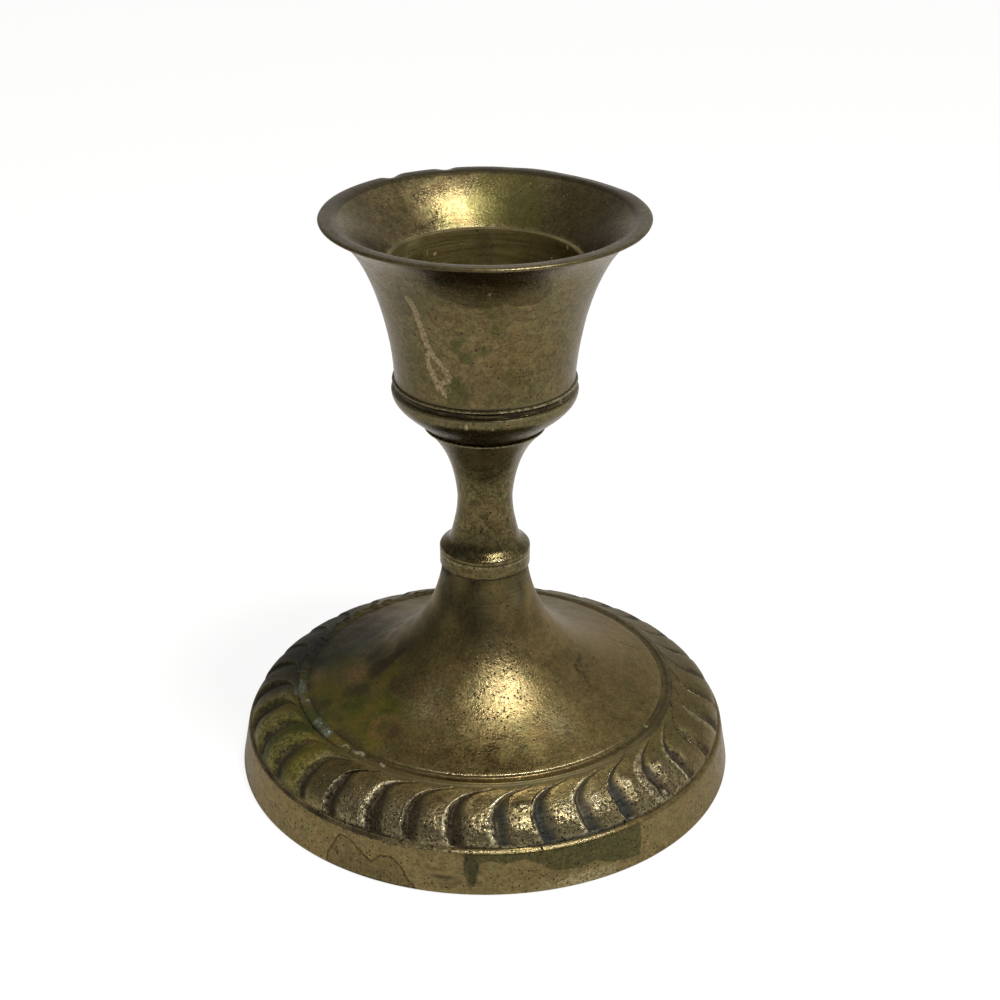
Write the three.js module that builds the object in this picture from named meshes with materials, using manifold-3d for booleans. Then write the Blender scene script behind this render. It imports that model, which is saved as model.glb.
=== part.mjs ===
// A short holder for one taper candle, in cast and turned brass.
// Four pieces stack on one axis: base, stem, collar and candle cup. Each joint is a round spigot
// in a round recess. A countersunk screw in the floor of the cup draws the cup and the collar onto
// the stem, and a pan head screw with a washer, up inside the hollow base, draws the stem onto the
// base. Nothing moves.
// Millimetres, +Z up. The origin is on the axis, on the surface that the base stands on.

import * as THREE from 'three';
import { mergeVertices } from 'three/addons/utils/BufferGeometryUtils.js';
import Module from 'manifold-3d';

const wasm = await Module();
wasm.setup();

// Screws and washer
const screwRadius = 2;
const screwTipChamfer = 0.4;
const baseScrewLength = 14;
const panHeadRadius = 4;
const panHeadHeight = 2.4;
const cupScrewLength = 14;
const flushHeadRadius = 3.8;
const flushHeadLand = 0.2;
const slotWidth = 1.1;
const slotDepth = 1;
const washerRadius = 4.5;
const washerThickness = 0.8;
const tapOverrun = 0.8;

// Joints between the pieces
const fitClearance = 0.3;
const edgeBreak = 0.2;
const stemSpigotRadius = 4;
const stemSpigotLength = 1.5;
const collarSpigotRadius = 4.6;
const collarSpigotLength = 1.2;
const cupSpigotRadius = 7.7;
const cupSpigotLength = 1.5;

// Base
const baseHeight = 28.5;
const footRadius = 32.5;
const footEdgeBreak = 0.4;
const skirtHeight = 5.3;
const skirtTaper = 0.9;
const skirtWall = 2.6;
const channelDepth = 0.4;
const channelHeight = 0.5;
const bandWidth = 6.8;
const bandRise = 5;
const ringWidth = 1.1;
const ringDepth = 0.25;
const ringRise = 0.3;
const neckWall = 1.2;
const castWall = 2.4;
const bossRadius = 6.2;
const bossLength = 9;

// Gadroons, the swept lobes round the band of the base. Shares count up the band from its foot.
const gadroonCount = 34;
const gadroonDepth = 0.9;
const gadroonFullness = 0.6;
const gadroonFootShare = 0.15;
const gadroonTipShare = 0.5;
const sweepStartShare = 0.3;
const sweepAngle = THREE.MathUtils.degToRad(8.5);
const gadroonPhase = THREE.MathUtils.degToRad(-1.8);

// Stem
const stemHeight = 19.5;
const stemOverhang = 0.3;
const stemDiscHeight = 2;
const stemBeadHeight = 0.8;
const stemBeadRound = 0.5;
const stemWaistRadius = 3.5;
const stemWaistHeight = 9.5;
const stemTopRadius = 7.5;

// Collar
const collarHeight = 6.5;
const collarOverhang = 0.25;
const collarLipHeight = 0.4;
const collarEdgeProud = 0.15;
const collarCoveHeight = 1.2;
const collarCoveDepth = 0.4;

// Candle cup
const socketFloorThickness = 2.5;
const socketDepth = 12.5;
const flareHeight = 5.5;
const socketFloorRadius = 9.7;
const socketTaper = 1.8;
const ledgeWidth = 0.6;
const cupWall = 1.5;
const cupUndercut = 0.7;
const cupUndercutHeight = 0.8;
const rimRadius = 19.85;
const rimThickness = 0.75;
const rimLand = 1.9;
const rimStep = 0.25;

// Facets
const baseSides = 60;
const samplesPerGadroon = 5;
const bandRings = [0, 0.08, 0.2, 0.36, 0.52, 0.68, 0.84, 1];
const domeSteps = 8;
const cupSides = 48;
const barrelSteps = 7;
const stemSides = 36;
const stemSteps = 6;
const collarSteps = 5;
const screwSides = 24;
const panHeadSteps = 4;

// Sizes that more than one piece is drawn from
const holeRadius = screwRadius + fitClearance;
const neckRadius = stemSpigotRadius + fitClearance + neckWall;
const barrelRadius = socketFloorRadius + cupWall;
const cupSeatRadius = barrelRadius - cupUndercut;

// Draws a curve from where the path is to (radius, height). Each handle is a share of the run
// and a share of the rise between the curve's two ends.
const curveTo = (path, radius, height, leave, arrive) => {
  const from = path.currentPoint.clone();
  const run = radius - from.x;
  const rise = height - from.y;
  path.bezierCurveTo(
    from.x + leave[0] * run,
    from.y + leave[1] * rise,
    from.x + arrive[0] * run,
    from.y + arrive[1] * rise,
    radius,
    height,
  );
};

// Turns a section, drawn as radius against height, about the Z axis.
const turned = (section, sides, curveSteps) =>
  new THREE.LatheGeometry(section.getPoints(curveSteps), sides).rotateX(Math.PI / 2);

const solidOf = (geometry) => {
  const bare = geometry.clone();
  bare.deleteAttribute('normal');
  bare.deleteAttribute('uv');
  const merged = mergeVertices(bare);
  return new wasm.Manifold(new wasm.Mesh({
    numProp: 3,
    vertProperties: merged.attributes.position.array,
    triVerts: new Uint32Array(merged.index.array),
  }));
};

const geometryOf = (solid) => {
  const mesh = solid.getMesh();
  const geometry = new THREE.BufferGeometry();
  geometry.setAttribute('position', new THREE.BufferAttribute(mesh.vertProperties, 3));
  geometry.setIndex(new THREE.BufferAttribute(mesh.triVerts, 1));
  return geometry;
};

// Cuts a screwdriver slot across a head, at the height of its outer face.
const slotted = (geometry, headRadius, faceHeight) => {
  const slot = new THREE.BoxGeometry(4 * headRadius, slotWidth, 2 * slotDepth);
  slot.translate(0, 0, faceHeight);
  return geometryOf(solidOf(geometry).subtract(solidOf(slot)));
};

// A ring is a list of points round the axis, starting at an angle called its turn.
const plainRing = ({ x: radius, y: height }) => {
  const points = [];
  for (let side = 0; side < baseSides; side += 1) {
    const angle = (side / baseSides) * 2 * Math.PI;
    points.push(new THREE.Vector3(radius * Math.cos(angle), radius * Math.sin(angle), height));
  }
  return { points, turn: 0 };
};

// The ring of the gadrooned band at a share of the way up it. The valleys between the lobes are
// narrow, end bluntly at the foot of the band, and sweep round as they fade out at its top.
const gadroonRing = (bandCurve, share) => {
  const at = bandCurve.getPoint(share);
  const along = bandCurve.getTangent(share);
  const fade = Math.min(1, share / gadroonFootShare, (1 - share) / gadroonTipShare);
  const swept = Math.max(0, (share - sweepStartShare) / (1 - sweepStartShare));
  const turn = gadroonPhase + sweepAngle * swept ** 2;
  const count = gadroonCount * samplesPerGadroon;
  const points = [];
  for (let side = 0; side < count; side += 1) {
    const lobe = Math.abs(Math.sin((Math.PI * side) / samplesPerGadroon)) ** gadroonFullness;
    const depth = gadroonDepth * fade * (1 - lobe);
    const radius = at.x - depth * along.y;
    const height = at.y + depth * along.x;
    const angle = (side / count) * 2 * Math.PI + turn;
    points.push(new THREE.Vector3(radius * Math.cos(angle), radius * Math.sin(angle), height));
  }
  return { points, turn };
};

// Skins a closed loop of rings. Rings with the same number of points join point to point, and
// others from the two points that lie nearest in angle.
const skinned = (rings) => {
  const positions = [];
  const faces = [];
  const starts = [];
  rings.forEach((ring) => {
    starts.push(positions.length / 3);
    ring.points.forEach((point) => positions.push(point.x, point.y, point.z));
  });
  rings.forEach((lower, index) => {
    const next = (index + 1) % rings.length;
    const upper = rings[next];
    const lowerCount = lower.points.length;
    const upperCount = upper.points.length;
    const apart = ((lower.turn - upper.turn) / (2 * Math.PI)) * upperCount;
    const offset = lowerCount === upperCount ? 0 : Math.round(apart) + upperCount;
    const lowerAt = (side) => starts[index] + (side % lowerCount);
    const upperAt = (side) => starts[next] + ((side + offset) % upperCount);
    let lowerSide = 0;
    let upperSide = 0;
    while (lowerSide < lowerCount || upperSide < upperCount) {
      if ((lowerSide + 1) / lowerCount <= (upperSide + 1) / upperCount) {
        faces.push(lowerAt(lowerSide), lowerAt(lowerSide + 1), upperAt(upperSide));
        lowerSide += 1;
      } else {
        faces.push(lowerAt(lowerSide), upperAt(upperSide + 1), upperAt(upperSide));
        upperSide += 1;
      }
    }
  });
  const geometry = new THREE.BufferGeometry();
  geometry.setAttribute('position', new THREE.Float32BufferAttribute(positions, 3));
  geometry.setIndex(faces);
  return geometry;
};

// The base: a hollow casting with a plain skirt, a band of gadroons and a trumpet-shaped dome.
const baseGeometry = () => {
  const skirtTopRadius = footRadius - skirtTaper;
  const bandFootRadius = skirtTopRadius - channelDepth;
  const bandFootHeight = skirtHeight + channelHeight;
  const bandTopRadius = bandFootRadius - bandWidth;
  const bandTopHeight = bandFootHeight + bandRise;
  const domeRadius = bandTopRadius - ringWidth;
  const domeFootHeight = bandTopHeight + ringRise;
  const recessRadius = stemSpigotRadius + fitClearance;
  const recessHeight = baseHeight - stemSpigotLength - fitClearance;
  const bossHeight = baseHeight - bossLength;

  const skirt = new THREE.Path();
  skirt.moveTo(footRadius - skirtWall, 0);
  skirt.lineTo(footRadius - footEdgeBreak, 0);
  skirt.lineTo(footRadius, footEdgeBreak);
  skirt.lineTo(skirtTopRadius, skirtHeight);
  skirt.lineTo(bandFootRadius, skirtHeight + channelHeight / 2);

  const band = new THREE.Path();
  band.moveTo(bandFootRadius, bandFootHeight);
  curveTo(band, bandTopRadius, bandTopHeight, [0.12, 0.61], [0.41, 0.58]);
  const bandCurve = band.curves[0];

  const dome = new THREE.Path();
  dome.moveTo(bandTopRadius - ringWidth / 3, bandTopHeight - ringDepth);
  dome.lineTo(domeRadius + ringWidth / 6, domeFootHeight - ringDepth);
  dome.lineTo(domeRadius, domeFootHeight);
  curveTo(dome, neckRadius, baseHeight - edgeBreak, [0.59, 0.18], [0.93, 0.45]);
  dome.lineTo(neckRadius - edgeBreak, baseHeight);
  dome.lineTo(recessRadius, baseHeight);
  dome.lineTo(recessRadius, recessHeight);
  dome.lineTo(holeRadius, recessHeight);
  dome.lineTo(holeRadius, bossHeight);
  dome.lineTo(bossRadius, bossHeight);
  curveTo(dome, domeRadius - castWall, domeFootHeight - castWall, [0.07, 0.55], [0.41, 0.82]);
  dome.lineTo(bandTopRadius, bandTopHeight - castWall);
  dome.lineTo(bandFootRadius - castWall, bandFootHeight);

  return skinned([
    ...skirt.getPoints().map(plainRing),
    ...bandRings.map((share) => gadroonRing(bandCurve, share)),
    ...dome.getPoints(domeSteps).map(plainRing),
  ]);
};

// The stem: solid brass, tapped at both ends. It is drawn up from its seat on the base.
const stemGeometry = () => {
  const footRadiusOfStem = neckRadius + stemOverhang;
  const beadFoot = stemDiscHeight + edgeBreak;
  const beadTop = beadFoot + stemBeadHeight;
  const lowerTap = baseScrewLength - washerThickness - bossLength + tapOverrun;
  const upperTap = cupScrewLength - socketFloorThickness - collarHeight + tapOverrun;

  const section = new THREE.Path();
  section.moveTo(0, lowerTap);
  section.lineTo(holeRadius, lowerTap);
  section.lineTo(holeRadius, -stemSpigotLength);
  section.lineTo(stemSpigotRadius, -stemSpigotLength);
  section.lineTo(stemSpigotRadius, 0);
  section.lineTo(footRadiusOfStem - edgeBreak, 0);
  section.lineTo(footRadiusOfStem, edgeBreak);
  section.lineTo(footRadiusOfStem, stemDiscHeight - edgeBreak);
  section.lineTo(footRadiusOfStem - edgeBreak, stemDiscHeight);
  section.lineTo(footRadiusOfStem, beadFoot);
  section.lineTo(footRadiusOfStem, beadTop - stemBeadRound);
  section.lineTo(footRadiusOfStem - stemBeadRound, beadTop);
  curveTo(section, stemWaistRadius, stemWaistHeight, [0.81, 0.25], [1, 0.69]);
  curveTo(section, stemTopRadius, stemHeight - edgeBreak, [0.08, 0.48], [0.44, 0.76]);
  section.lineTo(stemTopRadius - edgeBreak, stemHeight);
  section.lineTo(collarSpigotRadius, stemHeight);
  section.lineTo(collarSpigotRadius, stemHeight + collarSpigotLength);
  section.lineTo(holeRadius, stemHeight + collarSpigotLength);
  section.lineTo(holeRadius, stemHeight - upperTap);
  section.lineTo(0, stemHeight - upperTap);
  return turned(section, stemSides, stemSteps);
};

// The collar: a shallow dish under the cup, with a cove between two sharp edges.
const collarGeometry = () => {
  const lipRadius = barrelRadius + collarOverhang;
  const lipFoot = collarHeight - collarLipHeight;
  const edgeRadius = lipRadius + collarEdgeProud;
  const coveFoot = lipFoot - collarCoveHeight;
  const lowerRecessRadius = collarSpigotRadius + fitClearance;
  const lowerRecess = collarSpigotLength + fitClearance;
  const upperRecessRadius = cupSpigotRadius + fitClearance;
  const upperRecess = collarHeight - cupSpigotLength - fitClearance;

  const section = new THREE.Path();
  section.moveTo(holeRadius, lowerRecess);
  section.lineTo(lowerRecessRadius, lowerRecess);
  section.lineTo(lowerRecessRadius, 0);
  section.lineTo(stemTopRadius - edgeBreak, 0);
  section.lineTo(stemTopRadius, edgeBreak);
  curveTo(section, edgeRadius, coveFoot, [0.32, 0.32], [1, 0.69]);
  section.lineTo(lipRadius - collarCoveDepth, coveFoot + collarCoveHeight / 2);
  section.lineTo(lipRadius, lipFoot);
  section.lineTo(lipRadius, collarHeight - edgeBreak);
  section.lineTo(cupSeatRadius, collarHeight - edgeBreak);
  section.lineTo(cupSeatRadius - edgeBreak, collarHeight);
  section.lineTo(upperRecessRadius, collarHeight);
  section.lineTo(upperRecessRadius, upperRecess);
  section.lineTo(holeRadius, upperRecess);
  section.lineTo(holeRadius, lowerRecess);
  return turned(section, cupSides, collarSteps);
};

// The candle cup: a flared barrel with a tapered socket and a countersunk hole in its floor.
const cupGeometry = () => {
  const socketMouthRadius = socketFloorRadius + socketTaper;
  const ledgeRadius = socketMouthRadius + ledgeWidth;
  const ledgeHeight = socketFloorThickness + socketDepth;
  const rimHeight = ledgeHeight + flareHeight;
  const rimFoot = rimHeight - rimThickness;
  const landRadius = rimRadius - rimLand;
  const sinkRadius = flushHeadRadius + fitClearance;
  const sinkTop = socketFloorThickness - flushHeadLand;

  const section = new THREE.Path();
  section.moveTo(holeRadius, sinkTop - (sinkRadius - holeRadius));
  section.lineTo(holeRadius, -cupSpigotLength);
  section.lineTo(cupSpigotRadius, -cupSpigotLength);
  section.lineTo(cupSpigotRadius, 0);
  section.lineTo(cupSeatRadius, 0);
  section.lineTo(cupSeatRadius, edgeBreak);
  section.lineTo(barrelRadius, cupUndercutHeight);
  curveTo(section, rimRadius - edgeBreak, rimFoot, [0.065, 0.4], [0.41, 0.9]);
  section.lineTo(rimRadius, rimFoot + edgeBreak);
  section.lineTo(rimRadius, rimHeight - edgeBreak);
  section.lineTo(rimRadius - edgeBreak, rimHeight);
  section.lineTo(landRadius, rimHeight);
  section.lineTo(landRadius - rimStep, rimHeight - rimStep);
  curveTo(section, ledgeRadius, ledgeHeight, [0.45, 0.3], [0.75, 0.65]);
  section.lineTo(socketMouthRadius, ledgeHeight - edgeBreak);
  section.lineTo(socketFloorRadius, socketFloorThickness);
  section.lineTo(sinkRadius, socketFloorThickness);
  section.lineTo(sinkRadius, sinkTop);
  section.lineTo(holeRadius, sinkTop - (sinkRadius - holeRadius));
  return turned(section, cupSides, barrelSteps);
};

// The screw in the cup has a flush head. It is drawn down from the top of its head.
const cupScrewGeometry = () => {
  const headDepth = flushHeadLand + flushHeadRadius - screwRadius;

  const section = new THREE.Path();
  section.moveTo(0, -cupScrewLength);
  section.lineTo(screwRadius - screwTipChamfer, -cupScrewLength);
  section.lineTo(screwRadius, screwTipChamfer - cupScrewLength);
  section.lineTo(screwRadius, -headDepth);
  section.lineTo(flushHeadRadius, -flushHeadLand);
  section.lineTo(flushHeadRadius, 0);
  section.lineTo(0, 0);
  return slotted(turned(section, screwSides), flushHeadRadius, 0);
};

// The screw in the base has a pan head. It is drawn up and down from the seat of its head.
const baseScrewGeometry = () => {
  const section = new THREE.Path();
  section.moveTo(0, -panHeadHeight);
  section.lineTo(panHeadRadius / 2, -panHeadHeight);
  curveTo(section, panHeadRadius, -panHeadHeight / 2, [0.6, 0], [1, 0.4]);
  section.lineTo(panHeadRadius, 0);
  section.lineTo(screwRadius, 0);
  section.lineTo(screwRadius, baseScrewLength - screwTipChamfer);
  section.lineTo(screwRadius - screwTipChamfer, baseScrewLength);
  section.lineTo(0, baseScrewLength);
  return slotted(turned(section, screwSides, panHeadSteps), panHeadRadius, -panHeadHeight);
};

// The washer under the pan head. It hangs down from the face of the boss inside the base.
const washerGeometry = () => {
  const section = new THREE.Path();
  section.moveTo(holeRadius, -washerThickness);
  section.lineTo(washerRadius, -washerThickness);
  section.lineTo(washerRadius, 0);
  section.lineTo(holeRadius, 0);
  section.lineTo(holeRadius, -washerThickness);
  return turned(section, screwSides);
};

const brass = (color, roughness) =>
  new THREE.MeshStandardMaterial({ color, roughness, metalness: 0.9 });

const castBrass = brass(0x8a7440, 0.45);
const turnedBrass = brass(0x6f6236, 0.4);
const steel = new THREE.MeshStandardMaterial({ color: 0x77736a, roughness: 0.5, metalness: 0.9 });

const holder = new THREE.Group();

// Adds a piece to the holder, raised to the height of its seat.
const place = (name, geometry, material, height) => {
  const mesh = new THREE.Mesh(geometry, material);
  mesh.name = name;
  mesh.position.z = height;
  holder.add(mesh);
};

const stemSeat = baseHeight;
const collarSeat = stemSeat + stemHeight;
const cupSeat = collarSeat + collarHeight;
const bossFace = baseHeight - bossLength;

place('base', baseGeometry(), castBrass, 0);
place('stem', stemGeometry(), turnedBrass, stemSeat);
place('cup_collar', collarGeometry(), turnedBrass, collarSeat);
place('candle_cup', cupGeometry(), turnedBrass, cupSeat);
place('cup_screw', cupScrewGeometry(), steel, cupSeat + socketFloorThickness);
place('base_washer', washerGeometry(), steel, bossFace);
place('base_screw', baseScrewGeometry(), steel, bossFace - washerThickness);

export default holder;
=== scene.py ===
import math

import bpy
import numpy as np
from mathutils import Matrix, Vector, noise


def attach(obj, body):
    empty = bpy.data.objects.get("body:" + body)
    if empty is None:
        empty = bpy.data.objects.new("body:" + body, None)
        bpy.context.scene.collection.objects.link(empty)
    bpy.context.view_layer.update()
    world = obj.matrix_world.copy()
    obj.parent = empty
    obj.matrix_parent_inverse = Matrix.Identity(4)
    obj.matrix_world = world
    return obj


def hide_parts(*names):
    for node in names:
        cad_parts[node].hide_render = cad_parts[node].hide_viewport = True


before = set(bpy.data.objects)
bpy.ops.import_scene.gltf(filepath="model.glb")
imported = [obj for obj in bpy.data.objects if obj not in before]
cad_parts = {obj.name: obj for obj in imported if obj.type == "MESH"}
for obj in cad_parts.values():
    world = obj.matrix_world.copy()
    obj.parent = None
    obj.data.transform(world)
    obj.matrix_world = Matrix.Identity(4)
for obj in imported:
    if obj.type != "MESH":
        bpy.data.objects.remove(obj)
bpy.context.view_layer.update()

bpy.ops.object.select_all(action="DESELECT")


# Camera: the photograph's viewpoint, 26 degrees above the table and 26 cm away, through a
# short telephoto lens.

bpy.ops.object.camera_add(location=(0, -0.2135, 0.1430), rotation=(math.radians(63.63), 0, 0))
camera = bpy.context.object
camera.data.sensor_width = 36
camera.data.lens = 67.42
camera.data.shift_x = 0.015
camera.data.clip_start = 0.01
bpy.context.scene.camera = camera
bpy.context.scene.view_settings.view_transform = "Standard"


# Light and table: a white table in a pale room that is a little darker behind the camera, with
# one small soft lamp overhead, in front and to the right.


def linear(value):
    value /= 255
    return value / 12.92 if value <= 0.04045 else ((value + 0.055) / 1.055) ** 2.4


def tone(red, green, blue):
    return (linear(red), linear(green), linear(blue), 1)


def add(tree, kind, values=None, **settings):
    made = tree.nodes.new(kind)
    for setting, value in settings.items():
        setattr(made, setting, value)
    for name, value in (values or {}).items():
        if isinstance(value, bpy.types.NodeSocket):
            tree.links.new(value, made.inputs[name])
        else:
            made.inputs[name].default_value = value
    return made


def reckon(tree, operation, first, second=0.0):
    return add(tree, "ShaderNodeMath", {0: first, 1: second}, operation=operation).outputs[0]


def ease(tree, value, low, high, start=0.0, end=1.0):
    names = {"Value": value, "From Min": low, "From Max": high, "To Min": start, "To Max": end}
    return add(tree, "ShaderNodeMapRange", names, interpolation_type="SMOOTHSTEP").outputs[0]


def mixed(tree, share, first, second, how="MIX"):
    values = {0: share, 6: first, 7: second}
    return add(tree, "ShaderNodeMix", values, data_type="RGBA", blend_type=how).outputs[2]


def blank_tree(block):
    block.use_nodes = True
    block.node_tree.nodes.clear()
    return block.node_tree


world = bpy.data.worlds.new("pale_room")
bpy.context.scene.world = world
room = blank_tree(world)
heading = add(room, "ShaderNodeTexCoord").outputs["Generated"]
compass = add(room, "ShaderNodeSeparateXYZ", {0: heading})


def toward(direction, low, high, start, end):
    values = {0: heading, 1: Vector(direction).normalized()}
    facing = add(room, "ShaderNodeVectorMath", values, operation="DOT_PRODUCT").outputs["Value"]
    return ease(room, facing, low, high, start, end)


# Pale at the horizon, darker higher up, a little brighter overhead, and dimmed behind the camera,
# high at the back left, and at the left.
level = ease(room, compass.outputs["Z"], 0.06, 0.42, 1.0, 0.54)
level = reckon(room, "ADD", level, toward((0.1, 0.0, 1.0), 0.7, 1.0, 0.0, 0.16))
for direction, low, high, dimmed in (
    ((0, -1, 0.05), -0.2, 0.95, 0.42),
    ((-0.7, 0.55, 0.45), 0.55, 0.97, 0.42),
    ((-1.0, -0.3, 0.1), 0.45, 0.97, 0.72),
):
    level = reckon(room, "MULTIPLY", level, toward(direction, low, high, 1.0, dimmed))
lit = add(room, "ShaderNodeBackground", {"Color": tone(255, 253, 250), "Strength": level})
white = add(room, "ShaderNodeBackground", {"Color": (1, 1, 1, 1), "Strength": 1.0})
seen = add(room, "ShaderNodeLightPath").outputs["Is Camera Ray"]
sky = add(room, "ShaderNodeMixShader", {0: seen, 1: lit.outputs[0], 2: white.outputs[0]})
add(room, "ShaderNodeOutputWorld", {"Surface": sky.outputs[0]})

lamp_place = Vector((0.135, -0.12, 0.5))
bpy.ops.object.light_add(type="AREA", location=lamp_place)
lamp = bpy.context.object
lamp.data.shape = "DISK"
lamp.data.size = 0.1
lamp.data.energy = 1.9
lamp.data.color = (1.0, 0.985, 0.955)
lamp.rotation_euler = (Vector((0, 0, 0.03)) - lamp_place).to_track_quat("-Z", "Y").to_euler()

bpy.ops.mesh.primitive_plane_add(size=6, location=(0, 0, -0.00002))
table = bpy.context.object
table.name = "table"
finish = bpy.data.materials.new("table_white")
tree = blank_tree(finish)
path = add(tree, "ShaderNodeLightPath")
direct = reckon(tree, "MULTIPLY", path.outputs["Is Camera Ray"], 0.8)
mirrored = reckon(tree, "MULTIPLY", path.outputs["Is Glossy Ray"], 0.2)
washed = reckon(tree, "MAXIMUM", direct, mirrored)
board = add(tree, "ShaderNodeBsdfDiffuse", {"Color": tone(238, 237, 235)})
glow = add(tree, "ShaderNodeEmission", {"Color": (1, 1, 1, 1), "Strength": 1.1})
top = add(tree, "ShaderNodeMixShader", {0: washed, 1: board.outputs[0], 2: glow.outputs[0]})
under = add(tree, "ShaderNodeNewGeometry").outputs["Backfacing"]
clear = add(tree, "ShaderNodeBsdfTransparent")
both = add(tree, "ShaderNodeMixShader", {0: under, 1: top.outputs[0], 2: clear.outputs[0]})
add(tree, "ShaderNodeOutputMaterial", {"Surface": both.outputs[0]})
table.data.materials.append(finish)


# Base: a hollow brass casting, turned on the skirt, the sunk ring and the dome, with 34 swept
# gadroons left as cast in between. The brass is tarnished brown and olive, pitted, and green
# where damp has sat on it.


def curve(start, end, leave, arrive, steps):
    """Points of a curve, whose handles are shares of the run and of the rise between its ends."""
    run, rise = end[0] - start[0], end[1] - start[1]
    first = (start[0] + leave[0] * run, start[1] + leave[1] * rise)
    second = (start[0] + arrive[0] * run, start[1] + arrive[1] * rise)
    points = []
    for index in range(steps + 1):
        t = index / steps
        weights = ((1 - t) ** 3, 3 * t * (1 - t) ** 2, 3 * t * t * (1 - t), t**3)
        places = (start, first, second, end)
        points.append(tuple(sum(w * p[axis] for w, p in zip(weights, places)) for axis in (0, 1)))
    return points


def line(start, end, steps):
    ends = np.array([start, end], float)
    return [tuple(ends[0] + (ends[1] - ends[0]) * index / steps) for index in range(steps + 1)]


def rounded(corners, radius):
    """The corners' polygon, open, with each inner corner eased by two short chords."""
    points = [corners[0]]
    for before, here, after in zip(corners, corners[1:], corners[2:]):
        here = np.array(here, float)
        back = np.array(before) - here
        onward = np.array(after) - here
        reach = min(radius, np.hypot(*back) * 0.45, np.hypot(*onward) * 0.45)
        first = here + back / np.hypot(*back) * reach
        last = here + onward / np.hypot(*onward) * reach
        for t in (0, 0.5, 1):
            points.append(tuple((1 - t) ** 2 * first + 2 * t * (1 - t) * here + t * t * last))
    points.append(corners[-1])
    return points


merge_distance = 0.000004
same_point = 0.01
sharpest_smooth_edge = math.radians(38)


def turned(name, section, steps):
    """A closed section in millimetres, (radius, height), turned about the axis."""
    kept = [section[0]]
    for point in section[1:]:
        if math.dist(point, kept[-1]) > same_point:
            kept.append(point)
    if math.dist(kept[0], kept[-1]) <= same_point:
        kept.pop()
    bpy.ops.mesh.primitive_circle_add(vertices=len(kept), radius=0.01, fill_type="NOTHING")
    piece = bpy.context.object
    piece.name = piece.data.name = name
    for vertex, (radius, height) in zip(piece.data.vertices, kept):
        vertex.co = (radius / 1000, 0, height / 1000)
    turning = piece.modifiers.new("turning", "SCREW")
    turning.steps = turning.render_steps = steps
    turning.use_merge_vertices = True
    turning.merge_threshold = merge_distance
    bpy.ops.object.modifier_apply(modifier="turning")
    bpy.ops.object.mode_set(mode="EDIT")
    bpy.ops.mesh.select_all(action="SELECT")
    bpy.ops.mesh.remove_doubles(threshold=merge_distance)
    bpy.ops.mesh.delete_loose(use_faces=False)
    bpy.ops.mesh.select_all(action="SELECT")
    bpy.ops.mesh.normals_make_consistent(inside=False)
    bpy.ops.object.mode_set(mode="OBJECT")
    bpy.ops.object.shade_smooth_by_angle(angle=sharpest_smooth_edge)
    return piece, np.array(kept)


def read(piece):
    """Radius, angle and height of each vertex, in mm and degrees. The angle is 0 at the front."""
    places = np.empty(len(piece.data.vertices) * 3)
    piece.data.vertices.foreach_get("co", places)
    x, y, z = places.reshape(-1, 3).T * 1000
    return np.hypot(x, y), np.degrees(np.arctan2(x, -y)), z


def place(piece, radius, angle, height):
    turn = np.radians(angle)
    places = np.stack([radius * np.sin(turn), -radius * np.cos(turn), height], axis=1) / 1000
    piece.data.vertices.foreach_set("co", places.ravel())
    piece.data.update()


def paint(piece, fields):
    """Keeps each named mark as a number on each vertex, from 0 to 1."""
    for name, values in fields.items():
        layer = piece.data.attributes.new(name, "FLOAT", "POINT")
        layer.data.foreach_set("value", np.clip(values, 0, 1).astype(np.float32))


def smooth(value):
    value = np.clip(value, 0, 1)
    return value * value * (3 - 2 * value)


def apart(angle, other):
    return (angle - other + 180) % 360 - 180


def spot(angle, across, centre, size, edge=0.6):
    """A soft round mark. Its centre and size are each an angle and a distance across."""
    reach = np.hypot(apart(angle, centre[0]) / size[0], (across - centre[1]) / size[1])
    return smooth((1 - reach) / edge)


def marks(angle, across, rows):
    """Several soft round marks: for each a strength, a centre, a size and the edge's softness."""
    return sum(strong * spot(angle, across, at, size, soft) for strong, at, size, soft in rows)


def ribbon(value, centre, half_width):
    """A soft band: 1 at the centre, 0 from half its width away."""
    return smooth(1 - np.abs(value - centre) / half_width)


def near(angle, across, path, millimetres_per_degree):
    """How near a mark's line runs: 1 on the line, 0 from 1 mm away."""
    closest = np.full(angle.shape, 9.0)
    for (a0, b0), (a1, b1) in zip(path, path[1:]):
        u = apart(angle, a0) * millimetres_per_degree
        v = across - b0
        du, dv = (a1 - a0) * millimetres_per_degree, b1 - b0
        t = np.clip((u * du + v * dv) / (du * du + dv * dv), 0, 1)
        closest = np.minimum(closest, np.hypot(u - t * du, v - t * dv))
    return np.clip(1 - closest, 0, 1)


def within(angle, across, outline, millimetres_per_degree):
    """0.5 on a patch's edge, 1 from 1 mm inside it, 0 from 1 mm outside it."""
    edge = 1 - near(angle, across, outline + outline[:1], millimetres_per_degree)
    inside = np.zeros(angle.shape, bool)
    for (a0, b0), (a1, b1) in zip(outline, outline[1:] + outline[:1]):
        if b0 != b1:
            crossing = a0 + (across - b0) / (b1 - b0) * (a1 - a0)
            inside ^= ((b0 > across) != (b1 > across)) & (angle < crossing)
    return 0.5 + np.where(inside, edge, -edge) / 2


def roughened(piece, radius, angle, height, size, amount, seed):
    """Uneven metal: how far each vertex stands out, from noise of a given size, in mm."""
    turn = np.radians(angle)
    x, y = radius * np.sin(turn), -radius * np.cos(turn)
    offset = Vector((seed, seed * 2.3, seed * 0.7))
    values = [noise.noise(Vector((a, b, c)) / size + offset) for a, b, c in zip(x, y, height)]
    return np.array(values) * amount


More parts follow.
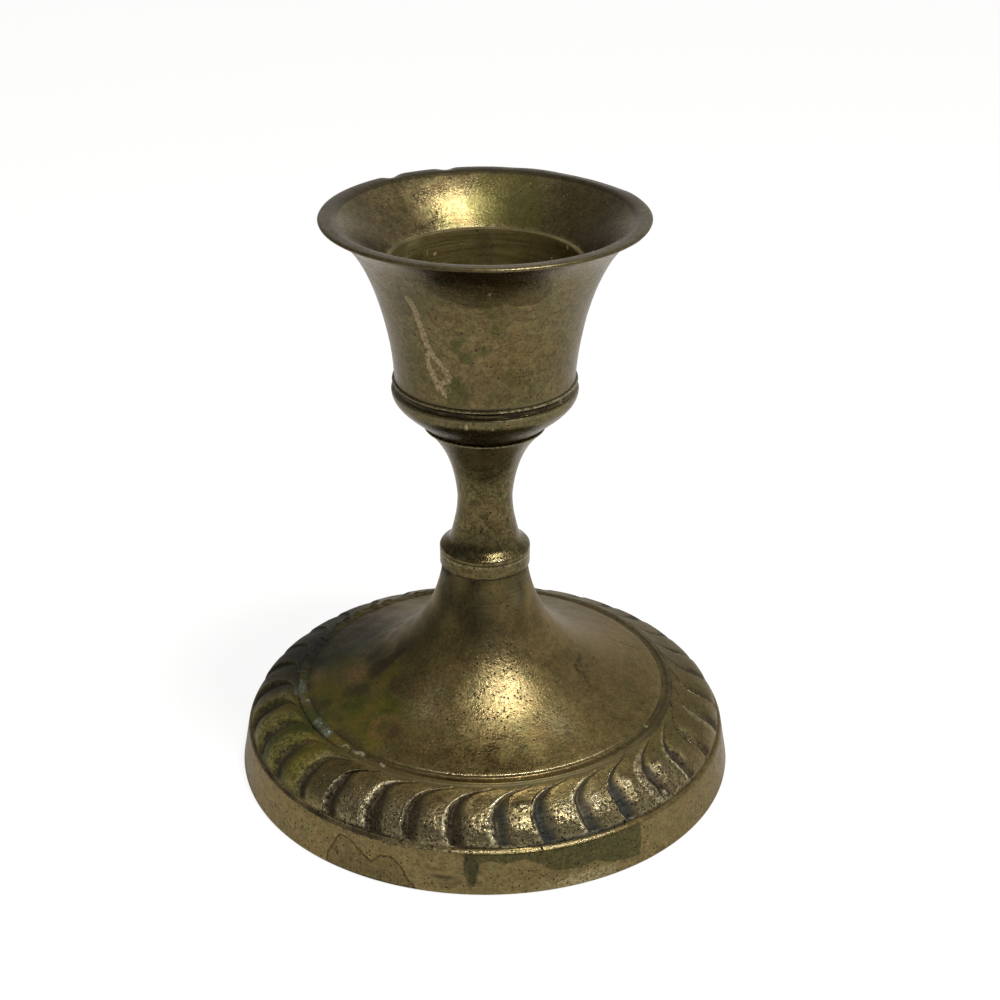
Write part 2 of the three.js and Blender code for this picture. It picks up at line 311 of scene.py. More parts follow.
def aged_brass(
    name,
    pale,
    deep,
    olive,
    patch_tone,
    pits,
    lines,
    grain,
    mottle,
    gloss=0.2,
    edge=(0.9, 0.87, 0.85, 1),
    stain_and_reflection=(0.3, 0.6),
):
    """Tarnished brass. It reads the marks that are painted on a piece's vertices."""
    material = bpy.data.materials.new(name)
    tree = blank_tree(material)
    where = add(tree, "ShaderNodeTexCoord").outputs["Object"]

    def mark(attribute):
        return add(tree, "ShaderNodeAttribute", attribute_name=attribute).outputs["Fac"]

    def times(first, second):
        return reckon(tree, "MULTIPLY", first, second)

    def less(first, second):
        return reckon(tree, "SUBTRACT", first, second)

    def plus(*values):
        total = values[0]
        for value in values[1:]:
            total = reckon(tree, "ADD", total, value)
        return total

    def eased(value, low, high, start=0.0, end=1.0):
        return ease(tree, value, low, high, start, end)

    def two_tones(texture, low, high, first, second):
        return mixed(tree, eased(texture, low, high), tone(*first), tone(*second))

    def moved(place, by):
        return add(tree, "ShaderNodeVectorMath", {0: place, 1: by}, operation="ADD").outputs[0]

    def cloud(size, detail=4.0, roughness=0.55, distortion=0.0, vector=where):
        values = {"Vector": vector, "Scale": 1 / size, "Detail": detail, "Roughness": roughness}
        values["Distortion"] = distortion
        return add(tree, "ShaderNodeTexNoise", values).outputs["Fac"]

    # Marks of turning: streaks that run round the axis.
    parts = add(tree, "ShaderNodeSeparateXYZ", {0: where})
    flat = add(tree, "ShaderNodeCombineXYZ", {0: parts.outputs[0], 1: parts.outputs[1]})
    around = add(tree, "ShaderNodeVectorMath", {0: flat.outputs[0]}, operation="NORMALIZE")
    split = add(tree, "ShaderNodeSeparateXYZ", {0: around.outputs[0]})
    wound = {0: split.outputs[0], 1: split.outputs[1], 2: times(mark("along"), 260.0)}
    streaks = cloud(0.75, 5.0, 0.7, 0.0, add(tree, "ShaderNodeCombineXYZ", wound).outputs[0])

    # Unevenness from patches of a few millimetres down to dust.
    broad = cloud(0.012, 3.0, 0.6, 0.4)
    patches = cloud(0.0026, 5.0, 0.62, 0.3)
    coarse = cloud(0.0005, 2.5, 0.6, 0.2)
    speckle = cloud(0.00034, 3.0, 0.65)
    dust = cloud(0.00014, 2.0, 0.6)
    shifted = moved(where, (0.03, 0.01, 0.02))
    ragged = times(less(patches, 0.5), 0.5)
    torn = times(less(plus(times(speckle, 0.55), times(coarse, 0.45)), 0.5), 1.1)

    # Pits: small dark holes, crowded where the casting is rough.
    pitted = mark("pitted")
    wobble = add(tree, "ShaderNodeTexNoise", {"Vector": where, "Scale": 2200.0, "Detail": 2.0})
    shove = {0: wobble.outputs["Color"], "Scale": 0.0003}
    shove = add(tree, "ShaderNodeVectorMath", shove, operation="SCALE").outputs[0]
    shaken = moved(where, shove)

    def holes(spacing, width, scarcity, gather):
        cells = add(tree, "ShaderNodeTexVoronoi", {"Vector": shaken, "Scale": 1 / spacing})
        luck = add(tree, "ShaderNodeSeparateColor", {0: cells.outputs["Color"]}).outputs[0]
        wide = plus(times(pitted, width * 0.6), width)
        hole = eased(cells.outputs["Distance"], wide, times(wide, 0.5))
        crowd = plus(times(pitted, gather), scarcity)
        return times(hole, eased(less(crowd, luck), 0.0, 0.06))

    large_pits = holes(0.0009, 0.18, 0.02 * pits - 0.07, 0.4)
    large_pits = times(large_pits, eased(pitted, 0.1, 0.8, 0.5, 1.0))
    small_pits = times(holes(0.00042, 0.32, 0.1 * pits, 0.75), 0.85)
    pit = reckon(tree, "MAXIMUM", large_pits, small_pits)
    sunk = times(eased(coarse, 0.38, 0.52, 1.0, 0.0), pitted)

    # The metal's own colour, with its blotches, streaks and grain.
    colour = mixed(tree, eased(patches, 0.25, 0.75), deep, pale)
    colour = mixed(tree, eased(broad, 0.42, 0.7, 0.0, 0.6), colour, olive)
    hue = cloud(0.0017, 3.0, 0.6, 0.5, shifted)
    colour = mixed(tree, eased(hue, 0.52, 0.68, 0.0, 0.3), colour, tone(108, 82, 54))
    colour = mixed(tree, eased(hue, 0.34, 0.48, 0.42, 0.0), colour, tone(88, 90, 54))
    colour = mixed(tree, times(pitted, 0.65), colour, tone(148, 137, 106))
    streaked = eased(streaks, 0.3, 0.7, 1.0 - 0.22 * lines, 1.0 + 0.22 * lines)
    grained = eased(speckle, 0.25, 0.75, 1.0 - 0.3 * grain, 1.0 + 0.28 * grain)
    grained = times(grained, eased(dust, 0.25, 0.75, 0.9, 1.1))
    scales = cloud(0.0008, 5.0, 0.7, 1.0, shifted)
    scaly = eased(scales, 0.36, 0.62, 1.0 - 0.42 * mottle, 1.0 + 0.3 * mottle)
    value = times(times(streaked, grained), scaly)
    shade = add(tree, "ShaderNodeCombineColor", {0: value, 1: value, 2: value}).outputs[0]
    colour = mixed(tree, 1.0, colour, shade, "MULTIPLY")

    # The painted marks, laid over it one after another.
    patch = eased(plus(mark("patch"), ragged), 0.46, 0.56)
    patch = times(patch, eased(speckle, 0.25, 0.7, 0.95, 0.55))
    # The stain mark draws tide marks with a dark edge line, and on the cup a painted dark
    # reflection.
    border = plus(mark("stain_and_reflection"), times(ragged, 0.3), times(torn, 0.12))
    aside = reckon(tree, "ABSOLUTE", less(border, 0.5))
    edging = times(eased(aside, 0.03, 0.1, stain_and_reflection[1], 0.0), eased(speckle, 0.3, 0.6, 1.0, 0.5))
    crack = eased(plus(mark("crack"), times(ragged, 0.5), times(torn, 0.4)), 0.66, 0.9)
    green, bloom_and_reflection, rust, dirt_and_shade, shadow, film, wear_and_highlight, cast = map(
        mark, ("green", "bloom_and_reflection", "rust", "dirt_and_shade", "shade", "film", "wear_and_highlight", "cast")
    )
    green_tone = two_tones(broad, 0.4, 0.6, (56, 66, 15), (94, 84, 26))
    green_tone = mixed(tree, 0.7, green_tone, shade, "MULTIPLY")
    teal = eased(plus(mark("teal"), ragged), 0.35, 0.6)
    unrest = times(plus(ragged, times(torn, 1.9)), eased(dirt_and_shade, 0.0, 0.4, 0.2, 1.0))
    dirt_and_shade = eased(plus(dirt_and_shade, unrest), 0.2, 0.8)
    tan = eased(plus(mark("tan"), ragged, times(torn, 0.8)), 0.54, 0.76)
    rubbed = plus(times(coarse, 0.6), times(speckle, 0.4))
    wear_and_highlight = times(wear_and_highlight, eased(rubbed, 0.4, 0.58, 0.1, 1.1))
    wear_and_highlight = times(wear_and_highlight, plus(times(times(torn, pitted), 6.0), 1.0))
    dark = reckon(tree, "MAXIMUM", times(pit, 0.86), times(sunk, 0.4))
    # Some of these marks are painted light: shade in hollows, in joints and at the back and sides,
    # highlights on crests and edges, and dark reflections.
    for share, coat in (
        (patch, patch_tone),
        (eased(border, 0.46, 0.54, 0.0, stain_and_reflection[0]), tone(52, 42, 24)),
        (edging, tone(42, 32, 18)),
        (times(crack, 0.6), tone(50, 42, 24)),
        (times(green, plus(ragged, 0.9)), green_tone),
        (bloom_and_reflection, two_tones(streaks, 0.35, 0.65, (43, 45, 43), (68, 71, 67))),
        (times(teal, 0.85), two_tones(speckle, 0.35, 0.65, (52, 68, 54), (120, 130, 108))),
        (times(rust, 0.9), two_tones(speckle, 0.3, 0.7, (82, 56, 22), (122, 94, 38))),
        (times(dirt_and_shade, 0.9), two_tones(speckle, 0.3, 0.7, (30, 22, 13), (62, 50, 33))),
        (times(shadow, plus(ragged, torn, 0.82)), tone(37, 34, 21)),
        (
            times(film, eased(patches, 0.3, 0.6, 0.45, 0.95)),
            two_tones(streaks, 0.35, 0.65, (82, 72, 38), (122, 110, 66)),
        ),
        (tan, two_tones(speckle, 0.3, 0.7, (108, 90, 56), (178, 160, 120))),
        (wear_and_highlight, mixed(tree, green, tone(204, 192, 156), tone(140, 130, 66))),
        (dark, tone(28, 23, 15)),
        (cast, two_tones(patches, 0.35, 0.7, (66, 56, 42), (122, 106, 74))),
    ):
        colour = mixed(tree, share, colour, coat)

    # Marks are duller than the metal, and less metallic.
    def summed(*terms):
        return plus(*(times(value, weight) for value, weight in terms))

    dull = summed((green, 0.18), (dirt_and_shade, 0.34), (dark, 0.3), (cast, 0.3), (tan, 0.2))
    dull = plus(dull, summed((film, 0.12), (bloom_and_reflection, 0.34), (wear_and_highlight, -0.04), (teal, 0.3), (shadow, 0.1)))
    roughness = plus(eased(patches, 0.3, 0.7, gloss, gloss + 0.12), dull)
    roughness = plus(roughness, times(less(speckle, 0.5), 0.22))
    bare = summed((green, 0.32), (dirt_and_shade, 0.42), (tan, 0.5), (cast, 0.45), (film, 0.75))
    bare = plus(bare, summed((bloom_and_reflection, 0.3), (teal, 0.8), (rust, 0.4), (shadow, 0.12), (patch, 0.2)))
    metal = less(1.0, bare)
    metal.node.use_clamp = True

    relief = summed((streaks, 0.35 * lines), (speckle, 0.55), (dust, 0.3), (tan, 0.6))
    relief = plus(relief, times(times(coarse, pitted), 2.3), times(coarse, wear_and_highlight))
    relief = plus(relief, times(times(cast, 2.2), speckle), times(pit, -1.6), times(crack, -0.3))
    bump = add(tree, "ShaderNodeBump", {"Height": relief, "Strength": 1.0, "Distance": 0.00006})
    values = {"Base Color": colour, "Metallic": metal, "Roughness": roughness}
    values |= {"Normal": bump.outputs[0], "Coat Weight": 0.05, "Coat Roughness": 0.3}
    values["Specular Tint"] = edge
    surface = add(tree, "ShaderNodeBsdfPrincipled", values)
    add(tree, "ShaderNodeOutputMaterial", {"Surface": surface.outputs[0]})
    return material


def measure_along(piece, section, radius, height):
    """Paints how far along its section each vertex lies, in tenths of a metre."""
    lengths = np.r_[0, np.cumsum(np.hypot(*np.diff(section, axis=0).T))]
    nearest = np.zeros(radius.shape, int)
    best = np.full(radius.shape, 1e9)
    for index, (r, z) in enumerate(section):
        gap = (radius - r) ** 2 + (height - z) ** 2
        closer = gap < best
        best[closer] = gap[closer]
        nearest[closer] = index
    paint(piece, {"along": lengths[nearest] / 100})
    return nearest


def index_of(section, point):
    return int(np.argmin(np.hypot(*(section - np.array(point)).T)))


skirt_foot = (32.4, 0.95)
skirt_top = (31.68, 4.95)
ridge_edge = (31.6, 5.35)
dome_foot = (23.1, 11.16)
dome_top = (5.5, 28.3)
wall_foot = (29.9, 0.12)

# The section runs from the foot, up the outside and down the inside.
foot = rounded([wall_foot, (30.0, 0), (32.2, 0), (32.46, 0.12), (32.5, 0.4), skirt_foot], 0.1)
skirt = line(skirt_foot, skirt_top, 9)
ridge = [skirt_top, ridge_edge, (31.38, 5.6), (31.14, 5.66), (31.08, 5.85), (31.1, 6.1)]
band = curve((31.2, 5.8), (24.4, 10.8), (0.12, 0.61), (0.41, 0.58), 39)[3:-3]
seam = [band[-1], (24.86, 10.47), (24.66, 10.54), (24.48, 10.76), (24.2, 10.78), (23.7, 10.7)]
seam += [(23.44, 10.82), (23.32, 11.07), dome_foot]
dome = curve(dome_foot, dome_top, (0.585, 0.17), (0.93, 0.45), 40)
dome = dome[1:24] + dome[24::2]
neck = [(5.44, 28.44), (5.3, 28.5), (4.3, 28.5), (4.3, 26.7), (2.3, 26.7)]
boss = [(2.3, 19.5), (6.05, 19.5), (6.2, 19.35)]
inside = curve((6.2, 19.35), (20.9, 8.7), (0.07, 0.55), (0.41, 0.82), 7)
wall = [(24.4, 8.4), (26.8, 7.2), (28.8, 5.8), wall_foot]
section = foot + skirt + rounded(ridge, 0.1) + band + rounded(seam, 0.1) + dome
section += neck + boss + inside[1:] + wall

gadroons = 34
columns = 20
pitch = 360 / gadroons
base, section = turned("base_casting", section, gadroons * columns)
radius, angle, height = read(base)
nearest = measure_along(base, section, radius, height)
column = np.round(((angle - 90) % 360) / (pitch / columns)).astype(int) % (gadroons * columns)
lobe = column // columns
step = column % columns

# Each gadroon rises from left to right to a crest, falls away in a short wall and comes up again
# out of a hollow. The columns of vertices crowd there, and lean with the sweep of the gadroons.
below = nearest > index_of(section, dome_top)
outward = (nearest > index_of(section, ridge_edge)) & (nearest <= index_of(section, dome_foot))
share = np.clip((height - 5.9) / (10.5 - 5.9), 0, 1)
on_band = outward & (height > 5.9) & (radius > 24.9)
sweep_radius = [24.4, 24.9, 25.25, 25.5, 25.8, 26.4, 27.0, 27.7, 28.8, 29.8, 30.5, 31.1, 32.5]
sweep_turn = [9.4, 8.8, 7.6, 5.0, 2.7, 0.7, -0.4, -1.05, -1.5, -1.4, -1.1, -0.1, 0.4]
lean = np.interp(radius, sweep_radius, sweep_turn)
unwinding = np.clip((radius - 6) / 23.5, 0, 1)
lean = np.where(below, 9.4 - 9.2 * unwinding, lean)
crowded = [0, 0.3, 0.6, 0.95, 1.3, 1.65, 2.0, 2.4, 2.8, 3.25]
crowded += [3.75, 4.3, 4.9, 5.6, 6.4, 7.3, 8.15, 8.95, 9.6, 10.15]
even = np.arange(columns) * pitch / columns
crowding = np.where(outward, 1.0, np.where(height < 5.4, 0.5, 0.0))
offset = even[step] + (np.array(crowded)[step] - even[step]) * crowding

# No two are alike: each crest wanders a little, and those at the front bend as the real ones do.
rng = np.random.default_rng(7)
wander = rng.normal(0, 0.28, gadroons)
bend = wander.copy()
for index, middle, end in (
    (-4, -0.5, -1.7),
    (-3, 0.3, -0.3),
    (-2, -0.8, 0.0),
    (-1, -0.8, 0.0),
    (0, -0.5, 0.0),
    (1, -1.0, 0.0),
    (2, -0.7, 1.2),
    (3, -1.6, -0.5),
    (4, 0.0, 2.0),
    (5, 0.2, 2.6),
    (6, -0.8, 0.6),
):
    wander[index] = middle
    bend[index] = end
depth_of = rng.uniform(0.85, 1.15, gadroons)
width_of = rng.uniform(0.88, 1.14, gadroons)
drift = wander[lobe] + (bend[lobe] - wander[lobe]) * smooth((28.2 - radius) / 3.0)
angle = lobe * pitch + offset + 3.1 + lean + drift * outward * (radius > 24.95)
angle = (angle + 180) % 360 - 180
tremble = roughened(base, radius, angle, height, 0.8, 1.0, 6.0)
angle = angle + 0.35 * tremble * on_band * smooth((2.6 - offset) / 1.2) * (share < 0.95)

# How far the surface rises or sinks. It fades at the tips and is flatter at the worn back.
tip = smooth((1 - share) / 0.32)
strength = tip * smooth((share - 0.02) / 0.13) * on_band
width = (0.12 + 0.88 * np.clip((1 - share) / 0.38, 0, 1) ** 0.7) * width_of[lobe]
u = offset / width
climb_out = np.clip((u - 1.9) / 3.8, 0, 1)
hollow = smooth(u / 1.55) * (1 - climb_out) ** 1.5 * strength
rise_to_crest = np.clip((offset - 6.6) / (pitch - 6.6), 0, 1) ** 1.8
crest = np.where(offset < 1.3, 1 - offset / 1.3, rise_to_crest)
trail = ribbon(offset, 1.25, 1.2) * smooth((share - 0.5) / 0.25) * smooth((0.99 - share) / 0.04)
swell = np.sin(np.pi * np.clip((offset - 4.6) / (pitch - 4.6), 0, 1))
worn = 0.22 + 0.78 * smooth((np.cos(np.radians(angle)) + 0.42) / 0.62)
right = smooth((angle - 30) / 25)
lift = -0.62 * hollow * depth_of[lobe] + (0.13 * crest + 0.09 * swell) * strength
lift = lift * worn * (1 - 0.3 * right)
lift -= 0.08 * trail * on_band * worn
lift += 0.06 * ribbon(offset, 0.1, 0.8) * smooth((share - 0.5) / 0.2) * on_band * worn

# Rough metal on the band, lumps at the front, dirt that fills the sunk ring, and an uneven wall.
front = smooth((angle + 50) / 18) * smooth((66 - angle) / 16)
lumps = roughened(base, radius, angle, height, 0.85, 1.0, 3.0)
grains = roughened(base, radius, angle, height, 0.45, 1.0, 9.0)
roughest = on_band * smooth((0.95 - share) / 0.5) * (0.25 + 0.75 * front)
lift += (0.07 * lumps + 0.08 * grains) * roughest * worn
bosses = (
    (0.26, (9.8, 27.6), (3.6, 0.55), 0.9),
    (0.16, (28.3, 28.6), (1.9, 1.3), 0.9),
    (0.12, (20.0, 28.6), (1.8, 1.0), 0.9),
    (0.34, (39.4, 28.0), (2.2, 1.3), 0.9),
    (0.42, (50.4, 28.2), (2.4, 1.1), 0.9),
    (0.16, (47.0, 30.6), (0.9, 0.4), 0.9),
    (0.14, (36.8, 31.0), (0.8, 0.3), 0.9),
)
lift += on_band * marks(angle, radius, bosses)
lift += 0.14 * on_band * smooth((np.abs(angle) - 115) / 30)
silted = smooth((-88 - angle) / 12) + 0.7 * smooth((-40 - angle) / 14) * (angle > -100)
silted = np.clip(silted + 0.3 * smooth((angle - 44) / 12), 0, 1)
in_ring = outward & (radius > 23.35) & (radius < 24.7)
lift += in_ring * silted * np.clip(10.98 - height, 0, 0.5) * (1 + 0.9 * lumps)
wavy = roughened(base, radius, angle, height, 7.0, 0.035, 5.0)
lift += np.where((outward | (height > 11)) & ~below, wavy, 0)
radius = radius + lift * 0.55 * (radius > 6.5)
height = height + lift * 0.84 * (height > 5.75) * (height < 25)
place(base, radius, angle, height)

# What the years left on it, and painted light: dirt and painted shade in the hollows and the sunk
# ring, rubbed crests with painted highlights, olive and dark stains at the left, painted shade at
# the back and sides, slate grey in the front hollows that is painted reflection of the sky, a slate
# bloom at the back, and tide marks on the skirt.
clouds = roughened(base, radius, angle, height, 3.2, 1.0, 12.0)
banks = roughened(base, radius, angle, height, 8.0, 1.0, 15.0)
on_dome = (height > 10.9) & ~below & (radius < 23.6)
on_skirt = (height < 5.5) & (radius > 31.0)
on_ridge = outward & (radius > 30.9) & (radius < 31.75) & (height < 6.0)
in_seam = ~below & (radius > 23.38) & (radius < 24.95) & (height < 11.15) & (height > 10.0)
ridge_left = smooth((-4 - angle) / 5) * smooth((angle + 110) / 20)
sky_reflection_zone = smooth((angle + 1) / 6) * smooth((42 - angle) / 8)
olive_zone = smooth((-42 - angle) / 12) * smooth((angle + 150) / 30)
stained_side = smooth(1.4 - np.hypot(apart(angle, -78) / 46, (radius - 18.5) / 9)) * on_dome
ring_gap = np.hypot(apart(angle, -41) * 0.2805, radius - 19.4) + 0.7 * clouds
pool = smooth((u + 0.15) / 1.1) * smooth((5.8 - u) / 3.0) * strength
strip = on_band * smooth((0.13 - share) / 0.09)

# Slate grey in the front right hollows is painted reflection of the sky; at the back left and by
# the seam it is a bloom.
bloom_and_reflection = np.maximum(np.maximum(pool, 0.8 * trail * on_band), strip * smooth((angle - 6) / 8))
bloom_and_reflection *= sky_reflection_zone * (0.95 + 0.4 * clouds)
old_slate = 0.55 * spot(angle, radius, (-118, 27.5), (26, 5), 0.7) * smooth(0.5 + 1.5 * banks)
bloom_and_reflection += on_band * (old_slate + 0.6 * spot(angle, radius, (-61, 29), (3.2, 1.0), 0.8))
bloom_and_reflection += 0.9 * spot(angle, radius, (-108, 25), (20, 3.4), 0.7) * outward * (height < 11.2)

teal = in_seam * smooth((-52 - angle) / 3) * smooth((angle + 92) / 5) * (0.55 + 1.2 * clouds)
teal += 0.5 * spot(angle, radius, (-86, 26.8), (4, 1.3), 0.8) * on_band
teal += 1.2 * spot(angle, radius, (-83, 24.6), (3.4, 1.2), 0.7) * outward
teal_right = smooth((angle - 44) / 10) * smooth((86 - angle) / 14)
teal += 0.35 * in_seam * teal_right * (0.6 + 1.5 * clouds)

# Dark in the hollows, along the ridge, in the sunk ring and under the stem's disc: dirt, and
# painted shade where shade falls.
dirt_and_shade = 1.35 * pool * (1 - sky_reflection_zone) * (0.8 + 0.5 * clouds) * (1 - 0.4 * right)
dirt_and_shade += 0.75 * trail * on_band * (1 - 0.5 * sky_reflection_zone) * (0.9 + 0.6 * clouds)
dirt_and_shade += 0.9 * strip * smooth((angle + 46) / 12) * smooth((8 - angle) / 10) * (0.8 + clouds)
edge_dirt_and_shade = (0.45 + 0.3 * smooth((angle - 36) / 6)) * ribbon(height, 5.74, 0.3) * (1 - ridge_left)
edge_dirt_and_shade += 0.8 * ribbon(height, 5.6, 0.36) * ridge_left
dirt_and_shade += edge_dirt_and_shade * on_ridge * (0.8 + clouds)
dirt_and_shade += 0.7 * in_seam * ribbon(radius, 23.6, 0.22) * (1 - silted)
dirt_and_shade += 0.8 * smooth((height - 27.6) / 0.6) * on_dome * (0.3 + 2.0 * clouds)
dirt_and_shade += 0.42 * ribbon(radius, 24.85, 0.35) * outward * (0.8 + 0.8 * clouds)
dirt_and_shade += 0.4 * in_seam * smooth((np.abs(angle) - 36) / 20) * (0.7 + 1.2 * clouds)

# Rubbed crests and edges, with painted highlights: stronger at the front, and the ridge and ring
# lines only at the front.
wear_and_highlight = np.where(offset < 5, ribbon(offset, 0.1, 0.8), smooth(1 - (pitch - offset) / 0.8))
wear_and_highlight *= 0.45 + 0.5 * smooth((angle + 62) / 30) * smooth((76 - angle) / 30)
past_crest = np.abs(apart(offset * gadroons, -1.6 * gadroons) / gadroons)
broad_crest = smooth((-44 - angle) / 6) * smooth((angle + 100) / 24)
wear_and_highlight = np.maximum(wear_and_highlight, 0.7 * broad_crest * smooth(1.15 - past_crest / 3.2))
tapered = smooth((share - 0.02) / 0.13) * smooth((0.99 - share) / 0.08)
wear_and_highlight *= tapered * on_band * np.where(np.isin(lobe, (30, 4)), 0.5, 1.0)
ridge_shine = smooth((angle + 8.5) / 3) * smooth((37 - angle) / 16)
wear_and_highlight += 0.6 * (np.abs(height - 5.6) < 0.07) * outward * ridge_shine
ring_shine = smooth((46 - np.abs(angle - 8)) / 26)
wear_and_highlight += 0.95 * ribbon(radius, 23.26, 0.1) * (height > 10.9) * ~below * ring_shine
# Painted highlights on the lit lumps of the front right gadroons.
lump_highlights = (
    (0.75, (28.3, 28.6), (2.2, 1.6), 0.9),
    (0.65, (20.0, 28.6), (1.9, 1.2), 0.9),
    (0.6, (9.8, 27.6), (3.6, 0.7), 0.9),
    (0.6, (38.2, 28.0), (1.4, 1.5), 0.9),
    (0.8, (49.0, 28.3), (1.9, 0.9), 0.9),
    (0.6, (47.0, 30.6), (1.0, 0.4), 0.9),
)
wear_and_highlight += on_band * marks(angle, radius, lump_highlights)
# Painted highlights on the dome, beside the lamp's highlight.
dome_highlights = ((0.2, (-31, 14.5), (13, 4.5), 0.9), (0.12, (33, 17.5), (12, 4.0), 0.9))
wear_and_highlight += on_dome * marks(angle, radius, dome_highlights)
# Lighter at the skirt's foot, front right.
wear_and_highlight += 0.34 * spot(angle, height, (22, 0.9), (13, 1.3), 0.8) * on_skirt
wear_and_highlight *= 0.4 + 0.6 * smooth((np.cos(np.radians(angle)) + 0.3) / 0.8)

clouded_green = (
    (0.8, (-76, 19.5), (46, 6.5), 0.7),
    (1.0, (-77, 21.2), (14, 2.4), 0.7),
    (0.9, (-66, 19.6), (10, 2.2), 0.7),
    (0.7, (-50, 21.8), (18, 1.8), 0.7),
    (0.8, (-96, 21.4), (14, 2.2), 0.7),
    (0.6, (-112, 17.5), (26, 4.5), 0.7),
)
even_green = ((0.9, (-78, 20.6), (12, 1.8), 0.7), (0.6, (-104, 22.6), (30, 2.4), 0.8))
green = on_dome * (0.8 + 0.7 * clouds) * marks(angle, radius, clouded_green)
green += stained_side * smooth((clouds + 0.06) / 0.2)
green += on_dome * marks(angle, radius, even_green)
green *= 1.25
green += 1.1 * olive_zone * (on_band | in_seam) * (0.9 + 0.4 * banks)
green += 0.45 * spot(angle, radius, (62, 26.5), (17, 3.5), 0.7) * on_band
green += 0.3 * on_band * smooth((np.abs(angle) - 90) / 40)

dome_rust = (
    (1.1, (-79, 17.2), (10, 2.2), 0.7),
    (0.9, (-88, 22.2), (8, 1.0), 0.8),
    (0.3, (70, 15.5), (22, 3.0), 0.9),
)
rust = on_dome * marks(angle, radius, dome_rust)
rust += 0.5 * spot(angle, radius, (-60, 16.0), (9, 1.8), 0.8) * on_dome * (0.7 + 1.2 * clouds)
rust += on_dome * (0.9 * ribbon(ring_gap, 1.7, 0.8) + 0.3 * smooth((1.8 - ring_gap) / 0.8))
rust += 0.4 * spot(angle, height, (9, 2.6), (9, 1.2), 0.9) * on_skirt
rust += 0.6 * spot(angle, radius, (-58, 26.2), (5, 1.2), 0.9) * on_band
patchy = smooth(0.6 + 1.5 * clouds)
rust += 0.5 * spot(angle, radius, (-72, 28.0), (6, 2.0), 0.9) * on_band * patchy

# Dark marks on the dome: stains at the left, and painted shade at the back left, the right and the
# neck.
dome_shadow = (
    (0.75, (-116, 21), (36, 8), 0.8),
    (0.6, (-68, 10), (34, 4.5), 0.8),
    (0.5, (-128, 11), (46, 6), 0.8),
    (0.55, (-60, 22.0), (6, 1.2), 0.7),
    (-0.7, (-79, 17.2), (11, 2.6), 0.7),
    (0.3, (64, 16), (52, 9), 0.7),
    (0.2, (8, 6.4), (70, 3.6), 0.8),
    (0.9, (62, 16.4), (3.6, 0.34), 0.8),
)
shadow = on_dome * marks(angle, radius, dome_shadow)
# Painted shade on the band at the back left.
shadow += 0.85 * spot(angle, radius, (-112, 27.5), (40, 8), 0.7) * on_band * (0.9 + 0.6 * clouds)
shadow += 0.8 * spot(angle, radius, (-83, 14.4), (20, 2.6), 0.8) * on_dome * (0.9 + 0.6 * clouds)
shadow += 0.5 * spot(angle, radius, (-44, 7.2), (34, 2.6), 0.8) * on_dome * (0.9 + 0.8 * clouds)
# Painted shade: the dome darker towards the back.
shadow += 0.3 * on_dome * smooth((np.abs(angle - 10) - 100) / 30)
shadow += 0.42 * on_dome * smooth((2.3 - ring_gap) / 0.8)
# Painted shade on the neck, mottled.
shadow += 0.5 * on_dome * smooth((9.8 - radius) / 4) * (0.8 + 2.0 * clouds)
shadow += 0.6 * stained_side * smooth((-0.06 - clouds) / 0.2)
shadow += 0.85 * olive_zone * pool
# Painted shade on the band at the right, the back and the sides, and on the sunk ring's sides.
shadow += 0.3 * spot(angle, radius, (56, 28), (40, 5), 0.7) * on_band
shadow += 0.5 * on_band * smooth((np.abs(angle) - 60) / 50)
shadow += 0.35 * in_seam * smooth((np.abs(angle) - 40) / 30)
shadow += 0.4 * in_seam * smooth((radius - 23.9) / 0.3) * smooth((angle - 4) / 4)
# Painted shade over the ring's outer edge, where the lamp's reflection shines.
ring_dusk = smooth((angle + 50) / 20) * smooth((60 - angle) / 20)
shadow += 0.75 * outward * ribbon(radius, 24.85, 0.6) * ring_dusk
smear = [(-4.6, 5.6), (-4.4, 2.4), (-2.8, 0.9), (-1.4, 2.0), (-1.6, 5.6)]
smear = within(angle, height, smear, 0.56) + 0.5 * tremble
shadow += 0.5 * smooth((smear - 0.38) / 0.24) * on_skirt * (0.8 + 0.8 * clouds)
skirt_specks = (
    (0.5, (42.5, 0.6), (2.2, 0.5), 0.6),
    (0.9, (-9, 2.3), (4.2, 0.42), 0.9),
    (0.9, (-8, 1.6), (3.6, 0.36), 0.9),
    (0.9, (-11, 3.0), (3.0, 0.34), 0.9),
    (0.9, (-6, 3.4), (2.8, 0.3), 0.9),
    (0.9, (-5.5, 2.0), (1.5, 0.3), 0.9),
    (0.9, (-34.5, 2.4), (0.9, 0.35), 0.9),
    (0.9, (-32.5, 1.2), (1.2, 0.4), 0.9),
    (0.9, (-30.5, 1.9), (0.8, 0.3), 0.9),
)
shadow += on_skirt * marks(angle, height, skirt_specks)

per_degree = 32 * math.pi / 180
tide = [(-37, 1.6), (-34, 4.6), (-31, 4.4), (-28.5, 3.4), (-25.5, 2.5), (-23.5, 3.6)]
tide += [(-21, 3.8), (-18.5, 2.8), (-17, 1.4), (-15, 0.3), (-37, 0.2)]
damp = [(-4.5, 5.6), (-4.5, 2.6), (-3.0, 1.2), (-1.6, 1.8), (-1.2, 4.3), (1, 4.6), (5, 4.2)]
damp += [(9, 4.6), (13, 3.4), (15, 2.6), (20, 2.3), (25, 2.6), (30, 1.8), (36.4, 1.2), (37, 5.6)]

